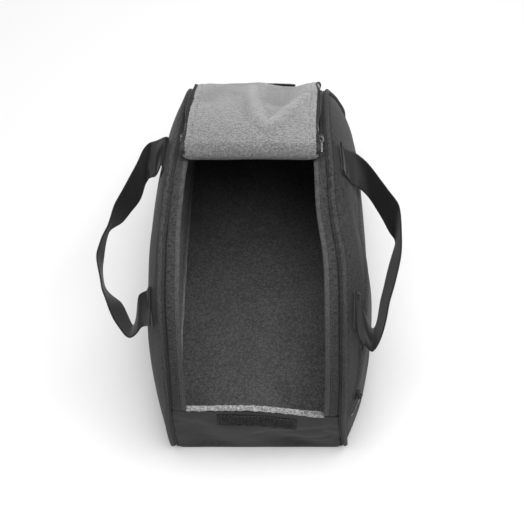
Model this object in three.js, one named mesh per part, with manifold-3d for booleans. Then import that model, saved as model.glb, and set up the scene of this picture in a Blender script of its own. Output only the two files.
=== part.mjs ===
// Helmet bag: a soft carrying bag of woven nylon, lined with fleece, standing open on its base.
// Millimetres. X runs across the bag, Y from the front (negative) to the back, Z up.
// The origin is the middle of the underside of the base.
import * as THREE from 'three';
import { mergeVertices } from 'three/addons/utils/BufferGeometryUtils.js';
import Module from 'manifold-3d';

const wasm = await Module();
wasm.setup();

// Overall form
const FRONT_REACH = 230; // from the middle to the front foot
const BACK_REACH = 248; // from the middle to the back foot
const ARCH_HEIGHT = 308; // top of the piped side seams
const FRONT_FULLNESS = 2.8; // exponent of the arch, 2 is an ellipse and more is boxier
const BACK_FULLNESS = 2.85;
const BELLY_LEFT = 25; // how far the sides swell past their seams
const BELLY_RIGHT = 34;
const BELLY_FULLNESS = 1.6; // 1 is a soft dome, more is a fuller one
const BASE_SWELL = 6; // how far the long edges of the base bow out
const UPRIGHT_ANGLE = 12; // arch angle at which a side's upright ends turn into its top edge
const UPRIGHT_SPREAD = 1.4; // spaces the cloth evenly up those ends
const CROWN_FRONT = 6; // rise of the middle of the front wall over its seams
const CROWN_BACK = 7;
const FRONT_TOP = 30; // arch angle below which the front wall's dents count

// Cloth and trim
const CLOTH = 2;
const FLEECE = 4;
const BASE_THICK = 2.5;
const GAP = 0.35; // room between neighbouring pieces
const LINING_GAP = 1.25; // room between the cloth and the fleece behind it
const PIPING_RADIUS = 3;
const BINDING_WIDTH = 6.5;
const BINDING_THICK = 3.2;
const TAPE_THICK = 1.8; // hook tape and loop tape
const WEBBING_WIDTH = 44;
const WEBBING_THICK = 2;

// Flap, folded back over the rear top
const FOLD_ANGLE = 97.5;
const FLAP_END_ANGLE = 155;
const FLAP_CURL = 10; // radius of the fold
const FLAP_ROOT_HALF = 70.5; // half-width where it leaves the mouth
const FLAP_HALF = 79.5;
const FLAP_END_ROUNDING = 16;
const FLAP_SHELL = 1.6;

// Zips
const ZIP_OFFSET = 84; // from the middle plane to a main zip
const ZIP_HALF = 2.8;
const ZIP_THICK = 2.4;
const GUSSET_START = 140; // arch angle at which cloth shows between a main zip and the piping
const POCKET_ZIP_HALF = 5;
const POCKET_ZIP_THICK = 1.6;

const FOOT = BASE_THICK + GAP; // level at which the walls start
const SEAM_ROOM = PIPING_RADIUS + GAP; // cloth stops this far from a seam's middle line
const LINING_ROOM = 12; // fleece stops this far from a seam's middle line
const LIP_ROOM = 0.4; // degrees of arch between the front wall's upper edge and the strips
const ANGLE_STEP = 6;
const LEFT = -1;
const RIGHT = 1;

// Half-width between the piped seams by angle round the arch, 0 front foot to 180 back foot
const SEAM_ROWS = [
  { angle: 0, half: 119, lean: 2 },
  { angle: 12, half: 115, lean: 2 },
  { angle: 25, half: 109, lean: 2 },
  { angle: 45, half: 106, lean: 2 },
  { angle: 62, half: 106, lean: 1 },
  { angle: 75, half: 105, lean: 0 },
  { angle: 88, half: 99, lean: -4 },
  { angle: 97, half: 95, lean: -3 },
  { angle: 110, half: 91, lean: -2 },
  { angle: 130, half: 91, lean: 0 },
  { angle: 143, half: 95, lean: 0 },
  { angle: 155, half: 109, lean: 0 },
  { angle: 165, half: 121, lean: 0 },
  { angle: 180, half: 119, lean: 0 },
];

// Half-width of the mouth between the bound edges
const MOUTH_ROWS = [
  { angle: 20, half: 85 },
  { angle: 45, half: 83 },
  { angle: 75, half: 82 },
  { angle: 88, half: 78 },
  { angle: 98, half: 74 },
];

// Upper edge of the front wall, across from the left seam to the right one
const LIP_ROWS = [
  { across: -1, angle: 19.5 },
  { across: 0, angle: 20.4 },
  { across: 1, angle: 15.6 },
];

// Lift of the flap over the back panel, from its fold to its free end
const FLAP_ROWS = [
  { angle: 97.5, lift: 20 },
  { angle: 106, lift: 13 },
  { angle: 118, lift: 6.5 },
  { angle: 135, lift: 4 },
  { angle: 155, lift: 4 },
];

// Soft dents in the front wall: across it (-1 to 1), arch angle, spread in mm, depth in mm
const FRONT_DENTS = [
  { across: -0.72, angle: 9, spread: 34, depth: 4 },
  { across: 0.35, angle: 6, spread: 40, depth: 4 },
  { across: 0.8, angle: 11, spread: 26, depth: 3 },
];

// Levels up a side panel at which its facets break
const SIDE_LEVELS = [0, 0.05, 0.14, 0.26, 0.4, 0.54, 0.68, 0.8, 0.9, 0.955, 1];

// Course of the pocket zip over the right side panel, from its rear end to its slider
const POCKET_ROWS = [
  { along: 0.57, up: 0.75 },
  { along: 0.46, up: 0.76 },
  { along: 0.35, up: 0.8 },
  { along: 0.24, up: 0.82 },
  { along: 0.15, up: 0.81 },
  { along: 0.1, up: 0.82 },
];

// Middle line of each free handle from the rear sewn end to the front one.
// Turn is where the outer edge points: 0 to the back, 90 straight up, 180 to the front.
const HANDLE_LEFT_ROWS = [
  { x: -123, y: 60, z: 284, turn: 24 },
  { x: -132, y: 53, z: 284, turn: 52 },
  { x: -141, y: 29, z: 277, turn: 58 },
  { x: -156, y: 9, z: 268, turn: 72 },
  { x: -167, y: -7, z: 260, turn: 84 },
  { x: -178, y: -20, z: 253, turn: 104 },
  { x: -185, y: -40, z: 246, turn: 114 },
  { x: -188, y: -64, z: 240, turn: 111 },
  { x: -184, y: -87, z: 239, turn: 112 },
  { x: -172, y: -106, z: 241, turn: 121 },
  { x: -160, y: -127, z: 245, turn: 124 },
  { x: -147, y: -149, z: 251, turn: 124 },
  { x: -138, y: -157, z: 257, turn: 134 },
  { x: -129, y: -145, z: 264, turn: 158 },
  { x: -120, y: -134, z: 269, turn: 176 },
];
const HANDLE_RIGHT_ROWS = [
  { x: 122, y: 54, z: 279, turn: 8 },
  { x: 132, y: 48, z: 277, turn: 20 },
  { x: 153, y: 17, z: 268, turn: 42 },
  { x: 171, y: -11, z: 258, turn: 52 },
  { x: 178, y: -24, z: 248, turn: 92 },
  { x: 178, y: -40, z: 240, turn: 106 },
  { x: 172, y: -68, z: 235, turn: 114 },
  { x: 161, y: -105, z: 236, turn: 113 },
  { x: 153, y: -134, z: 240, turn: 120 },
  { x: 147, y: -156, z: 247, turn: 130 },
  { x: 138, y: -166, z: 254, turn: 152 },
  { x: 130, y: -156, z: 262, turn: 165 },
  { x: 123, y: -143, z: 266, turn: 178 },
];

// Sewn ends of the handles: along each side panel, and the levels up it that the sewing spans
const LEFT_ENDS = { rear: 0.558, front: 0.318 };
const RIGHT_ENDS = { rear: 0.55, front: 0.31 };
const SEWN_LEVELS = [0.885, 0.91, 0.935];
const TURN_LEVEL = 0.955; // level and reach of the bend at the top of the sewing
const TURN_REACH = 5.5;
const HANDLE_STEPS = 50;

const nylon = { color: 0x3c3c3e, roughness: 0.82, metalness: 0 };
const webbing = { color: 0x242426, roughness: 0.7, metalness: 0 };
const fleece = { color: 0xa9a9aa, roughness: 0.95, metalness: 0 };
const trim = { color: 0x1f1f20, roughness: 0.6, metalness: 0 };
const binding = { color: 0x5b5b5d, roughness: 0.75, metalness: 0 };
const metal = { color: 0xb9babc, roughness: 0.35, metalness: 1 };

const bag = new THREE.Group();

function addPiece(name, geometry, finish, parent = bag) {
  const mesh = new THREE.Mesh(geometry, new THREE.MeshStandardMaterial(finish));
  mesh.name = name;
  parent.add(mesh);
}

// Smooth value of one column of a table at a place between its rows
function columnAt(rows, key, column, at) {
  const last = rows.length - 1;
  let i = 0;
  while (i < last - 1 && at > rows[i + 1][key]) {
    i += 1;
  }
  const slopeAt = (k) => {
    const before = rows[Math.max(k - 1, 0)];
    const after = rows[Math.min(k + 1, last)];
    return (after[column] - before[column]) / (after[key] - before[key]);
  };
  const span = rows[i + 1][key] - rows[i][key];
  const t = THREE.MathUtils.clamp((at - rows[i][key]) / span, 0, 1);
  const rise = t * t * (3 - 2 * t);
  return rows[i][column] * (1 - rise)
    + rows[i + 1][column] * rise
    + span * t * (1 - t) * ((1 - t) * slopeAt(i) - t * slopeAt(i + 1));
}

function evenSteps(from, to, count) {
  return Array.from({ length: count + 1 }, (_, i) => from + ((to - from) * i) / count);
}

// Angles round the arch at every whole step between two ends, so that neighbours share their facets
function archSteps(from, to, step = ANGLE_STEP) {
  const angles = [from];
  for (let angle = Math.ceil((from + 1) / step) * step; angle < to - 1; angle += step) {
    angles.push(angle);
  }
  angles.push(to);
  return angles;
}

// Point of the arch in the middle plane, drawn in by an inset
function archPoint(angle, inset = 0) {
  const turn = THREE.MathUtils.degToRad(angle);
  const inFront = angle < 90;
  const power = 2 / (inFront ? FRONT_FULLNESS : BACK_FULLNESS);
  const reach = (inFront ? -FRONT_REACH : BACK_REACH) - (inFront ? -inset : inset);
  return {
    y: reach * Math.abs(Math.cos(turn)) ** power,
    z: FOOT + (ARCH_HEIGHT - FOOT - inset) * Math.max(Math.sin(turn), 0) ** power,
  };
}

function seamHalf(angle) {
  return columnAt(SEAM_ROWS, 'angle', 'half', angle);
}

function seamLean(angle) {
  return columnAt(SEAM_ROWS, 'angle', 'lean', angle);
}

function seamPoint(side, angle, inset = 0) {
  const { y, z } = archPoint(angle, inset);
  return new THREE.Vector3(seamLean(angle) + side * seamHalf(angle), y, z);
}

// Outward direction of the arch in the middle plane
function archNormal(angle) {
  const before = archPoint(Math.max(angle - 1, 0));
  const after = archPoint(Math.min(angle + 1, 180));
  return new THREE.Vector3(0, before.z - after.z, after.y - before.y).normalize();
}

function frontDent(across, z) {
  let depth = 0;
  for (const dent of FRONT_DENTS) {
    const sideways = (across - dent.across) * seamHalf(dent.angle);
    const upwards = z - archPoint(dent.angle).z;
    depth += dent.depth * Math.exp(-(sideways ** 2 + upwards ** 2) / dent.spread ** 2);
  }
  return depth * Math.max(1 - across ** 4, 0);
}

// Point of the band over the bag, x measured from the band's own middle line
function bandPoint(angle, x, lift = 0) {
  const { y, z } = archPoint(angle);
  const crown = angle < 90 ? CROWN_FRONT : CROWN_BACK;
  const fullness = Math.sin(THREE.MathUtils.degToRad(Math.min(angle, 180 - angle) * 2));
  const across = x / seamHalf(angle);
  let rise = crown * Math.max(fullness, 0) * Math.max(1 - across * across, 0);
  if (angle < FRONT_TOP) {
    rise -= frontDent(across, z);
  }
  return new THREE.Vector3(seamLean(angle) + x, y, z).addScaledVector(archNormal(angle), rise + lift);
}

// Point of a side panel: along it from front to back and up it from base to arch, both 0 to 1
function sidePoint(side, along, up, inset = SEAM_ROOM) {
  const edge = (angle) => seamPoint(side, angle, inset);
  const corner = [edge(0), edge(180), edge(UPRIGHT_ANGLE), edge(180 - UPRIGHT_ANGLE)];
  const bottom = corner[0].clone().lerp(corner[1], along);
  bottom.x += side * BASE_SWELL * 4 * along * (1 - along);
  const top = edge(THREE.MathUtils.lerp(UPRIGHT_ANGLE, 180 - UPRIGHT_ANGLE, along));
  const rise = UPRIGHT_ANGLE * Math.max(up, 0) ** UPRIGHT_SPREAD;
  const front = edge(rise);
  const back = edge(180 - rise);
  const point = bottom.multiplyScalar(1 - up).addScaledVector(top, up);
  point.addScaledVector(front, 1 - along).addScaledVector(back, along);
  point.addScaledVector(corner[0], -(1 - along) * (1 - up)).addScaledVector(corner[1], -along * (1 - up));
  point.addScaledVector(corner[2], -(1 - along) * up).addScaledVector(corner[3], -along * up);
  const dome = 16 * along * (1 - along) * up * (1 - up);
  const swell = 1 - (1 - dome) ** BELLY_FULLNESS;
  point.x += side * (side === LEFT ? BELLY_LEFT : BELLY_RIGHT) * swell;
  return point;
}

// Outward direction of a surface given by a function of two values
function surfaceNormal(pointAt, u, v, face) {
  const small = 0.002;
  const du = pointAt(u + small, v).sub(pointAt(u - small, v));
  const dv = pointAt(u, v + small).sub(pointAt(u, v - small));
  return du.cross(dv).normalize().multiplyScalar(face);
}

// Closed wall over a surface: from lift to lift plus thickness along its outward side,
// or along a given direction
function wall(pointAt, us, vs, thickness, lift, face = 1, direction = null) {
  const positions = [];
  const index = [];
  const rows = vs.length;
  const size = us.length * rows;
  for (const level of [lift + thickness, lift]) {
    for (const u of us) {
      for (const v of vs) {
        const outward = direction ?? surfaceNormal(pointAt, u, v, face);
        const point = pointAt(u, v).addScaledVector(outward, level);
        positions.push(point.x, point.y, point.z);
      }
    }
  }
  const quad = (a, b, c, d) => index.push(a, b, c, a, c, d);
  for (let i = 0; i < us.length - 1; i += 1) {
    for (let j = 0; j < rows - 1; j += 1) {
      const a = i * rows + j;
      quad(a, a + rows, a + rows + 1, a + 1);
      quad(size + a, size + a + 1, size + a + rows + 1, size + a + rows);
    }
  }
  for (let i = 0; i < us.length - 1; i += 1) {
    const low = i * rows;
    const high = low + rows - 1;
    quad(low, low + size, low + size + rows, low + rows);
    quad(high, high + rows, high + rows + size, high + size);
  }
  for (let j = 0; j < rows - 1; j += 1) {
    const end = (us.length - 1) * rows + j;
    quad(j, j + 1, j + 1 + size, j + size);
    quad(end, end + size, end + 1 + size, end + 1);
  }
  return closedGeometry(positions, index);
}

// Round strand through points, with flat ends
function strand(points, radius, sides) {
  const positions = [];
  const index = [];
  const last = points.length - 1;
  points.forEach((point, i) => {
    const ahead = points[Math.min(i + 1, last)].clone().sub(points[Math.max(i - 1, 0)]).normalize();
    const outward = new THREE.Vector3(1, 0, 0).addScaledVector(ahead, -ahead.x).normalize();
    const upward = ahead.clone().cross(outward);
    for (let k = 0; k < sides; k += 1) {
      const turn = (2 * Math.PI * k) / sides;
      const spot = point.clone().addScaledVector(outward, radius * Math.cos(turn));
      spot.addScaledVector(upward, radius * Math.sin(turn));
      positions.push(spot.x, spot.y, spot.z);
    }
  });
  for (let i = 0; i < last; i += 1) {
    for (let k = 0; k < sides; k += 1) {
      const next = (k + 1) % sides;
      const [a, b] = [i * sides + k, i * sides + next];
      index.push(a, b, b + sides, a, b + sides, a + sides);
    }
  }
  for (let k = 1; k < sides - 1; k += 1) {
    index.push(0, k + 1, k, last * sides, last * sides + k, last * sides + k + 1);
  }
  return closedGeometry(positions, index);
}

// Geometry with its faces pointing outwards
function closedGeometry(positions, index) {
  const corner = (k) => new THREE.Vector3().fromArray(positions, index[k] * 3);
  let volume = 0;
  for (let k = 0; k < index.length; k += 3) {
    volume += corner(k).dot(corner(k + 1).cross(corner(k + 2)));
  }
  if (volume < 0) {
    index.reverse();
  }
  const geometry = new THREE.BufferGeometry();
  geometry.setAttribute('position', new THREE.Float32BufferAttribute(positions, 3));
  geometry.setIndex(index);
  geometry.computeVertexNormals();
  return geometry;
}

// Base
function baseShape(inset) {
  const shape = new THREE.Shape();
  const half = (angle) => seamHalf(angle) - inset;
  const swell = BASE_SWELL * 2;
  shape.moveTo(half(0), -FRONT_REACH + inset);
  shape.quadraticCurveTo(half(0) + swell, 0, half(180), BACK_REACH - inset);
  shape.lineTo(-half(180), BACK_REACH - inset);
  shape.quadraticCurveTo(-half(0) - swell, 0, -half(0), -FRONT_REACH + inset);
  shape.closePath();
  return shape;
}

function plate(shape, level, thickness) {
  const settings = { depth: thickness, bevelEnabled: false, curveSegments: 10 };
  return new THREE.ExtrudeGeometry(shape, settings).translate(0, 0, level);
}

addPiece('base_panel', plate(baseShape(0), 0, BASE_THICK), nylon);
addPiece('lining_base', plate(baseShape(LINING_ROOM + 4), FOOT, FLEECE), fleece);

// Side panels with their lining and piping
const SIDE_COLUMNS = (180 - 2 * UPRIGHT_ANGLE) / ANGLE_STEP;
for (const [name, side] of [['left', LEFT], ['right', RIGHT]]) {
  const panel = (along, up) => sidePoint(side, along, up);
  const outward = new THREE.Vector3(side, 0, 0);
  const columns = evenSteps(0, 1, SIDE_COLUMNS);
  addPiece(`side_panel_${name}`, wall(panel, columns, SIDE_LEVELS, CLOTH, -CLOTH, 1, outward), nylon);
  const behind = CLOTH + LINING_GAP + FLEECE;
  const inner = columns.filter((_, i) => i % 2 === 1);
  const levels = SIDE_LEVELS.slice(1, -1);
  addPiece(`lining_side_${name}`, wall(panel, inner, levels, FLEECE, -behind, 1, outward), fleece);
  const rise = evenSteps(0, UPRIGHT_ANGLE, 4);
  const over = archSteps(UPRIGHT_ANGLE, 180 - UPRIGHT_ANGLE).slice(1);
  const fall = evenSteps(180 - UPRIGHT_ANGLE, 180, 4).slice(1);
  const stations = [...rise, ...over, ...fall].map((angle) => seamPoint(side, angle));
  addPiece(`piping_${name}`, strand(stations, PIPING_RADIUS, 6), nylon);
}

// Front wall with its lining, whose top edge shows along the lip
function lipAngle(across) {
  return columnAt(LIP_ROWS, 'across', 'angle', across);
}

function frontPoint(across, up, margin, above = 0) {
  const angle = (lipAngle(across) + above) * up;
  return bandPoint(angle, across * (seamHalf(angle) - margin));
}

const FRONT_COLUMNS = evenSteps(-1, 1, 10);
const frontSurface = (across, up) => frontPoint(across, Math.max(up, 0) ** UPRIGHT_SPREAD, SEAM_ROOM);
addPiece('front_panel', wall(frontSurface, FRONT_COLUMNS, evenSteps(0.004, 1, 6), CLOTH, -CLOTH), nylon);
const frontLiner = (across, up) => frontPoint(across, Math.max(up, 0) ** UPRIGHT_SPREAD, LINING_ROOM, 0.5);
addPiece(
  'lining_front',
  wall(frontLiner, FRONT_COLUMNS, evenSteps(0.12, 1, 6), FLEECE, -(CLOTH + LINING_GAP + FLEECE)),
  fleece,
);

// Loop tape on the front wall
const LOOP_TAPE = { left: -45, right: 55, below: 1.6, drop: 6 };
const loopSurface = (x, down) => {
  const angle = lipAngle(x / seamHalf(20)) - LOOP_TAPE.below - LOOP_TAPE.drop * down;
  return bandPoint(angle, x);
};
addPiece(
  'loop_strip',
  wall(loopSurface, evenSteps(LOOP_TAPE.left, LOOP_TAPE.right, 8), evenSteps(0, 1, 2), TAPE_THICK, GAP, -1),
  trim,
);

// Strips beside the mouth, with the tape that binds their inner edges
for (const [name, side] of [['left', LEFT], ['right', RIGHT]]) {
  const angles = archSteps(lipAngle(side), FOLD_ANGLE - 0.3);
  const bound = (angle) => columnAt(MOUTH_ROWS, 'angle', 'half', angle);
  const aboveLip = (angle, x) => {
    const lip = lipAngle((side * x) / seamHalf(angle)) + LIP_ROOM;
    const share = Math.min((angle - angles[0]) / (angles[1] - angles[0]), 1);
    const held = share < 1 ? THREE.MathUtils.lerp(lip, angles[1], share) : angle;
    return bandPoint(held, side * x);
  };
  const strip = (angle, across) => {
    const inner = bound(angle) + BINDING_WIDTH + GAP;
    return aboveLip(angle, THREE.MathUtils.lerp(inner, seamHalf(angle) - SEAM_ROOM, across));
  };
  const tape = (angle, across) => aboveLip(angle, bound(angle) + BINDING_WIDTH * across);
  const face = -side;
  addPiece(`edge_strip_${name}`, wall(strip, angles, evenSteps(0, 1, 2), CLOTH, -CLOTH, face), nylon);
  const sunk = -(BINDING_THICK + CLOTH) / 2;
  const bindingWall = wall(tape, angles, evenSteps(0, 1, 2), BINDING_THICK, sunk, face);
  addPiece(`edge_binding_${name}`, bindingWall, binding);
}

// Back wall and rear top between the main zips, its side gussets and its lining
const BACK_ANGLES = archSteps(FOLD_ANGLE, 179.6);
const backHalf = ZIP_OFFSET - ZIP_HALF - GAP;
const backSurface = (across, angle) => bandPoint(angle, across * backHalf);
addPiece('back_panel', wall(backSurface, evenSteps(-1, 1, 8), BACK_ANGLES, CLOTH, -CLOTH), nylon);
const backLiner = (across, angle) => bandPoint(angle, across * (seamHalf(angle) - LINING_ROOM));
const linerAngles = archSteps(FOLD_ANGLE + 3, 178, 10);
addPiece(
  'lining_back',
  wall(backLiner, evenSteps(-1, 1, 6), linerAngles, FLEECE, -(CLOTH + LINING_GAP + FLEECE)),
  fleece,
);
for (const [name, side] of [['left', LEFT], ['right', RIGHT]]) {
  const face = -side;
  const zip = (angle, across) => bandPoint(angle, side * (ZIP_OFFSET + ZIP_HALF * across));
  addPiece(`main_zip_${name}`, wall(zip, BACK_ANGLES, evenSteps(-1, 1, 2), ZIP_THICK, -CLOTH, face), trim);
  const inner = ZIP_OFFSET + ZIP_HALF + GAP;
  const gusset = (angle, across) => {
    const outer = seamHalf(angle) - SEAM_ROOM;
    return bandPoint(angle, side * THREE.MathUtils.lerp(inner, outer, across));
  };
  const angles = archSteps(GUSSET_START, 179.6);
  addPiece(`back_gusset_${name}`, wall(gusset, angles, evenSteps(0, 1, 2), CLOTH, -CLOTH, face), nylon);
}

// Flap: first part curls over the fold, the rest lies back over the rear top
const CURL_SHARE = 0.2;
function flapHalf(along) {
  const emerged = THREE.MathUtils.smoothstep(along, CURL_SHARE * 0.2, CURL_SHARE * 0.45);
  const rounding = FLAP_END_ROUNDING * THREE.MathUtils.smoothstep(along, 0.88, 1.04);
  return THREE.MathUtils.lerp(FLAP_ROOT_HALF, FLAP_HALF, emerged) - rounding;
}

function flapPoint(across, along) {
  const x = across * flapHalf(along);
  if (along < CURL_SHARE) {
    const turn = (Math.PI * along) / CURL_SHARE;
    const normal = archNormal(FOLD_ANGLE);
    const ahead = new THREE.Vector3(0, -normal.z, normal.y);
    return bandPoint(FOLD_ANGLE, x, FLAP_CURL * (1 - Math.cos(turn)))
      .addScaledVector(ahead, FLAP_CURL * Math.sin(turn) + GAP);
  }
  const part = (along - CURL_SHARE) / (1 - CURL_SHARE);
  const angle = THREE.MathUtils.lerp(FOLD_ANGLE, FLAP_END_ANGLE, part);
  return bandPoint(angle, x, columnAt(FLAP_ROWS, 'angle', 'lift', angle));
}

const FLAP_ACROSS = evenSteps(-1, 1, 8);
const flapAlong = evenSteps(0, CURL_SHARE, 6).concat(evenSteps(CURL_SHARE, 1, 12).slice(1));
addPiece('flap_shell', wall(flapPoint, FLAP_ACROSS, flapAlong, FLAP_SHELL, 0), nylon);
const fleeceAlong = evenSteps(0.05, CURL_SHARE, 6).concat(evenSteps(CURL_SHARE, 0.99, 12).slice(1));
addPiece('flap_fleece', wall(flapPoint, FLAP_ACROSS, fleeceAlong, FLEECE, FLAP_SHELL + GAP), fleece);
const HOOK_TAPE = { half: 0.62, from: 0.88, to: 0.96 };
const hookAcross = evenSteps(-HOOK_TAPE.half, HOOK_TAPE.half, 6);
const hookAlong = evenSteps(HOOK_TAPE.from, HOOK_TAPE.to, 2);
const hookLift = FLAP_SHELL + GAP + FLEECE + GAP;
addPiece('hook_strip', wall(flapPoint, hookAcross, hookAlong, TAPE_THICK, hookLift), trim);

// Handles: sewn up a side panel, bent over outwards, and back down to the other sewn end.
// A station holds the inner edge, the middle and the outer edge of the webbing.
const EDGES = [-1, 0, 1];

function sewnStation(side, along, level, lift, turned) {
  const panel = (a, b) => sidePoint(side, a, b);
  const small = 0.01;
  const stride = panel(along + small, level).distanceTo(panel(along - small, level)) / (2 * small);
  return EDGES.map((edge) => {
    const place = along + (turned * edge * WEBBING_WIDTH) / 2 / stride;
    return panel(place, level).addScaledVector(surfaceNormal(panel, place, level, side), lift);
  });
}

function freeStation(row) {
  const turn = THREE.MathUtils.degToRad(row.turn);
  const across = new THREE.Vector3(0, Math.cos(turn), Math.sin(turn));
  const middle = new THREE.Vector3(row.x, row.y, row.z);
  return EDGES.map((edge) => middle.clone().addScaledVector(across, (edge * WEBBING_WIDTH) / 2));
}

function handleGeometry(side, rows, ends) {
  const lift = GAP + WEBBING_THICK / 2;
  const sewn = (along, turned) => {
    const stations = SEWN_LEVELS.map((level) => sewnStation(side, along, level, lift, turned));
    stations.push(sewnStation(side, along, TURN_LEVEL, lift + TURN_REACH, turned));
    return stations;
  };
  const front = sewn(ends.front, -1).reverse();
  const stations = [...sewn(ends.rear, 1), ...rows.map(freeStation), ...front];
  const curves = EDGES.map((_, k) => new THREE.CatmullRomCurve3(stations.map((station) => station[k])));
  const surface = (across, along) => {
    const place = THREE.MathUtils.clamp(along, 0, 1);
    const [inner, middle, outer] = curves.map((curve) => curve.getPoint(place));
    return across < 0 ? middle.lerp(inner, -across) : middle.lerp(outer, across);
  };
  return wall(surface, EDGES, evenSteps(0, 1, HANDLE_STEPS), WEBBING_THICK, -WEBBING_THICK / 2);
}

addPiece('handle_left', handleGeometry(LEFT, HANDLE_LEFT_ROWS, LEFT_ENDS), webbing);
addPiece('handle_right', handleGeometry(RIGHT, HANDLE_RIGHT_ROWS, RIGHT_ENDS), webbing);

// Pocket zip on the right side panel
function pocketPoint(place, across) {
  const at = THREE.MathUtils.clamp(place, 0, 1) * (POCKET_ROWS.length - 1);
  const rows = POCKET_ROWS.map((row, i) => ({ ...row, place: i }));
  const along = columnAt(rows, 'place', 'along', at);
  const up = columnAt(rows, 'place', 'up', at);
  return sidePoint(RIGHT, along, up + (across * POCKET_ZIP_HALF) / ARCH_HEIGHT);
}
addPiece(
  'pocket_zip',
  wall(pocketPoint, evenSteps(0.005, 0.995, 20), evenSteps(-1, 1, 2), POCKET_ZIP_THICK, GAP, -1),
  trim,
);

// Zip sliders: a body with a bridge on top, and a pull whose root bar goes through the bridge.
// Local axes: X across the zip, Y along the pull as it lies, Z away from the cloth.
const SLIDER = { half: 6, nose: 1.8, shoulder: 3.8, height: 3.6, width: 7.6 };
const BRIDGE = { half: 4, crest: 2.8, shoulder: 6.2, top: 7.5, width: 2.4, sunk: 0.3 };
const WINDOW = { half: 2.4, low: 3.9, high: 6.5 };
const PULL = { bar: 0.7, eye: 6.2, eyeHalf: 1.7, armHalf: 3.2, arm: 7, taper: 9, thick: 1.2 };
const PULL_AXIS = (WINDOW.low + WINDOW.high) / 2;
const PULL_DROOP = 9; // degrees that a lying pull hangs below its slider's top
const SIDEWAYS = new THREE.Matrix4().makeBasis(
  new THREE.Vector3(0, 1, 0),
  new THREE.Vector3(0, 0, 1),
  new THREE.Vector3(1, 0, 0),
);

function outline(points) {
  return new THREE.Shape(points.map(([x, y]) => new THREE.Vector2(x, y)));
}

// Profile seen from the side, drawn out across the zip
function sidewaysBlock(shape, width) {
  const geometry = new THREE.ExtrudeGeometry(shape, { depth: width, bevelEnabled: false });
  return geometry.translate(0, 0, -width / 2).applyMatrix4(SIDEWAYS);
}

function solid(geometry) {
  const bare = geometry.clone();
  bare.deleteAttribute('normal');
  bare.deleteAttribute('uv');
  const merged = mergeVertices(bare);
  const vertProperties = Float32Array.from(merged.attributes.position.array);
  const triVerts = Uint32Array.from(merged.index.array);
  return new wasm.Manifold(new wasm.Mesh({ numProp: 3, vertProperties, triVerts }));
}

function sliderGeometry() {
  const { half, nose, shoulder, height, width } = SLIDER;
  const body = outline([
    [-half, 0],
    [half, 0],
    [half, nose],
    [shoulder, height],
    [-shoulder, height],
    [-half, nose],
  ]);
  const root = height - BRIDGE.sunk;
  const bridge = outline([
    [-BRIDGE.half, root],
    [BRIDGE.half, root],
    [BRIDGE.half, BRIDGE.shoulder],
    [BRIDGE.crest, BRIDGE.top],
    [-BRIDGE.crest, BRIDGE.top],
    [-BRIDGE.half, BRIDGE.shoulder],
  ]);
  bridge.holes.push(outline([
    [-WINDOW.half, WINDOW.low],
    [-WINDOW.half, WINDOW.high],
    [WINDOW.half, WINDOW.high],
    [WINDOW.half, WINDOW.low],
  ]));
  const joined = solid(sidewaysBlock(body, width)).add(solid(sidewaysBlock(bridge, BRIDGE.width)));
  const { vertProperties, triVerts } = joined.getMesh();
  return closedGeometry(Array.from(vertProperties), Array.from(triVerts));
}

// Flat tab with an eye at its root and, on a loop pull, a long slot
function pullGeometry(length, half, slot) {
  const shape = new THREE.Shape();
  shape.moveTo(-PULL.armHalf, -PULL.bar);
  shape.lineTo(PULL.armHalf, -PULL.bar);
  shape.lineTo(PULL.armHalf, PULL.arm);
  shape.lineTo(half, PULL.taper);
  shape.lineTo(half, length - half);
  shape.absarc(0, length - half, half, 0, Math.PI, false);
  shape.lineTo(-half, PULL.taper);
  shape.lineTo(-PULL.armHalf, PULL.arm);
  shape.closePath();
  const hole = (width, from, to) => outline([[-width, from], [-width, to], [width, to], [width, from]]);
  shape.holes.push(hole(PULL.eyeHalf, PULL.bar, PULL.eye));
  if (slot) {
    shape.holes.push(hole(slot.half, slot.from, slot.to));
  }
  const settings = { depth: PULL.thick, bevelEnabled: false, curveSegments: 6 };
  return new THREE.ExtrudeGeometry(shape, settings).translate(0, 0, -PULL.thick / 2);
}

function addSlider(name, place, along, outward, pull, finish) {
  const seat = new THREE.Group();
  const across = along.clone().cross(outward).normalize();
  const ahead = outward.clone().cross(across);
  seat.quaternion.setFromRotationMatrix(new THREE.Matrix4().makeBasis(across, ahead, outward));
  seat.position.copy(place);
  bag.add(seat);
  addPiece(`${name}_slider`, sliderGeometry(), finish, seat);
  const swing = new THREE.Group();
  swing.position.z = PULL_AXIS;
  swing.rotation.x = THREE.MathUtils.degToRad(-PULL_DROOP);
  seat.add(swing);
  addPiece(`${name}_pull`, pullGeometry(pull.length, pull.half, pull.slot), finish, swing);
}

// Main sliders stand at the front ends of their zips, with the pulls lying forward over the mouth's edges
const MAIN_PULL = { length: 23, half: 2.2 };
const MAIN_SLIDER_ANGLE = 100;
for (const [name, side] of [['left', LEFT], ['right', RIGHT]]) {
  const outward = archNormal(MAIN_SLIDER_ANGLE);
  const forward = new THREE.Vector3(0, -outward.z, outward.y);
  const place = bandPoint(MAIN_SLIDER_ANGLE, side * ZIP_OFFSET, ZIP_THICK - CLOTH + GAP);
  addSlider(`main_${name}`, place, forward, outward, MAIN_PULL, metal);
}

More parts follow.
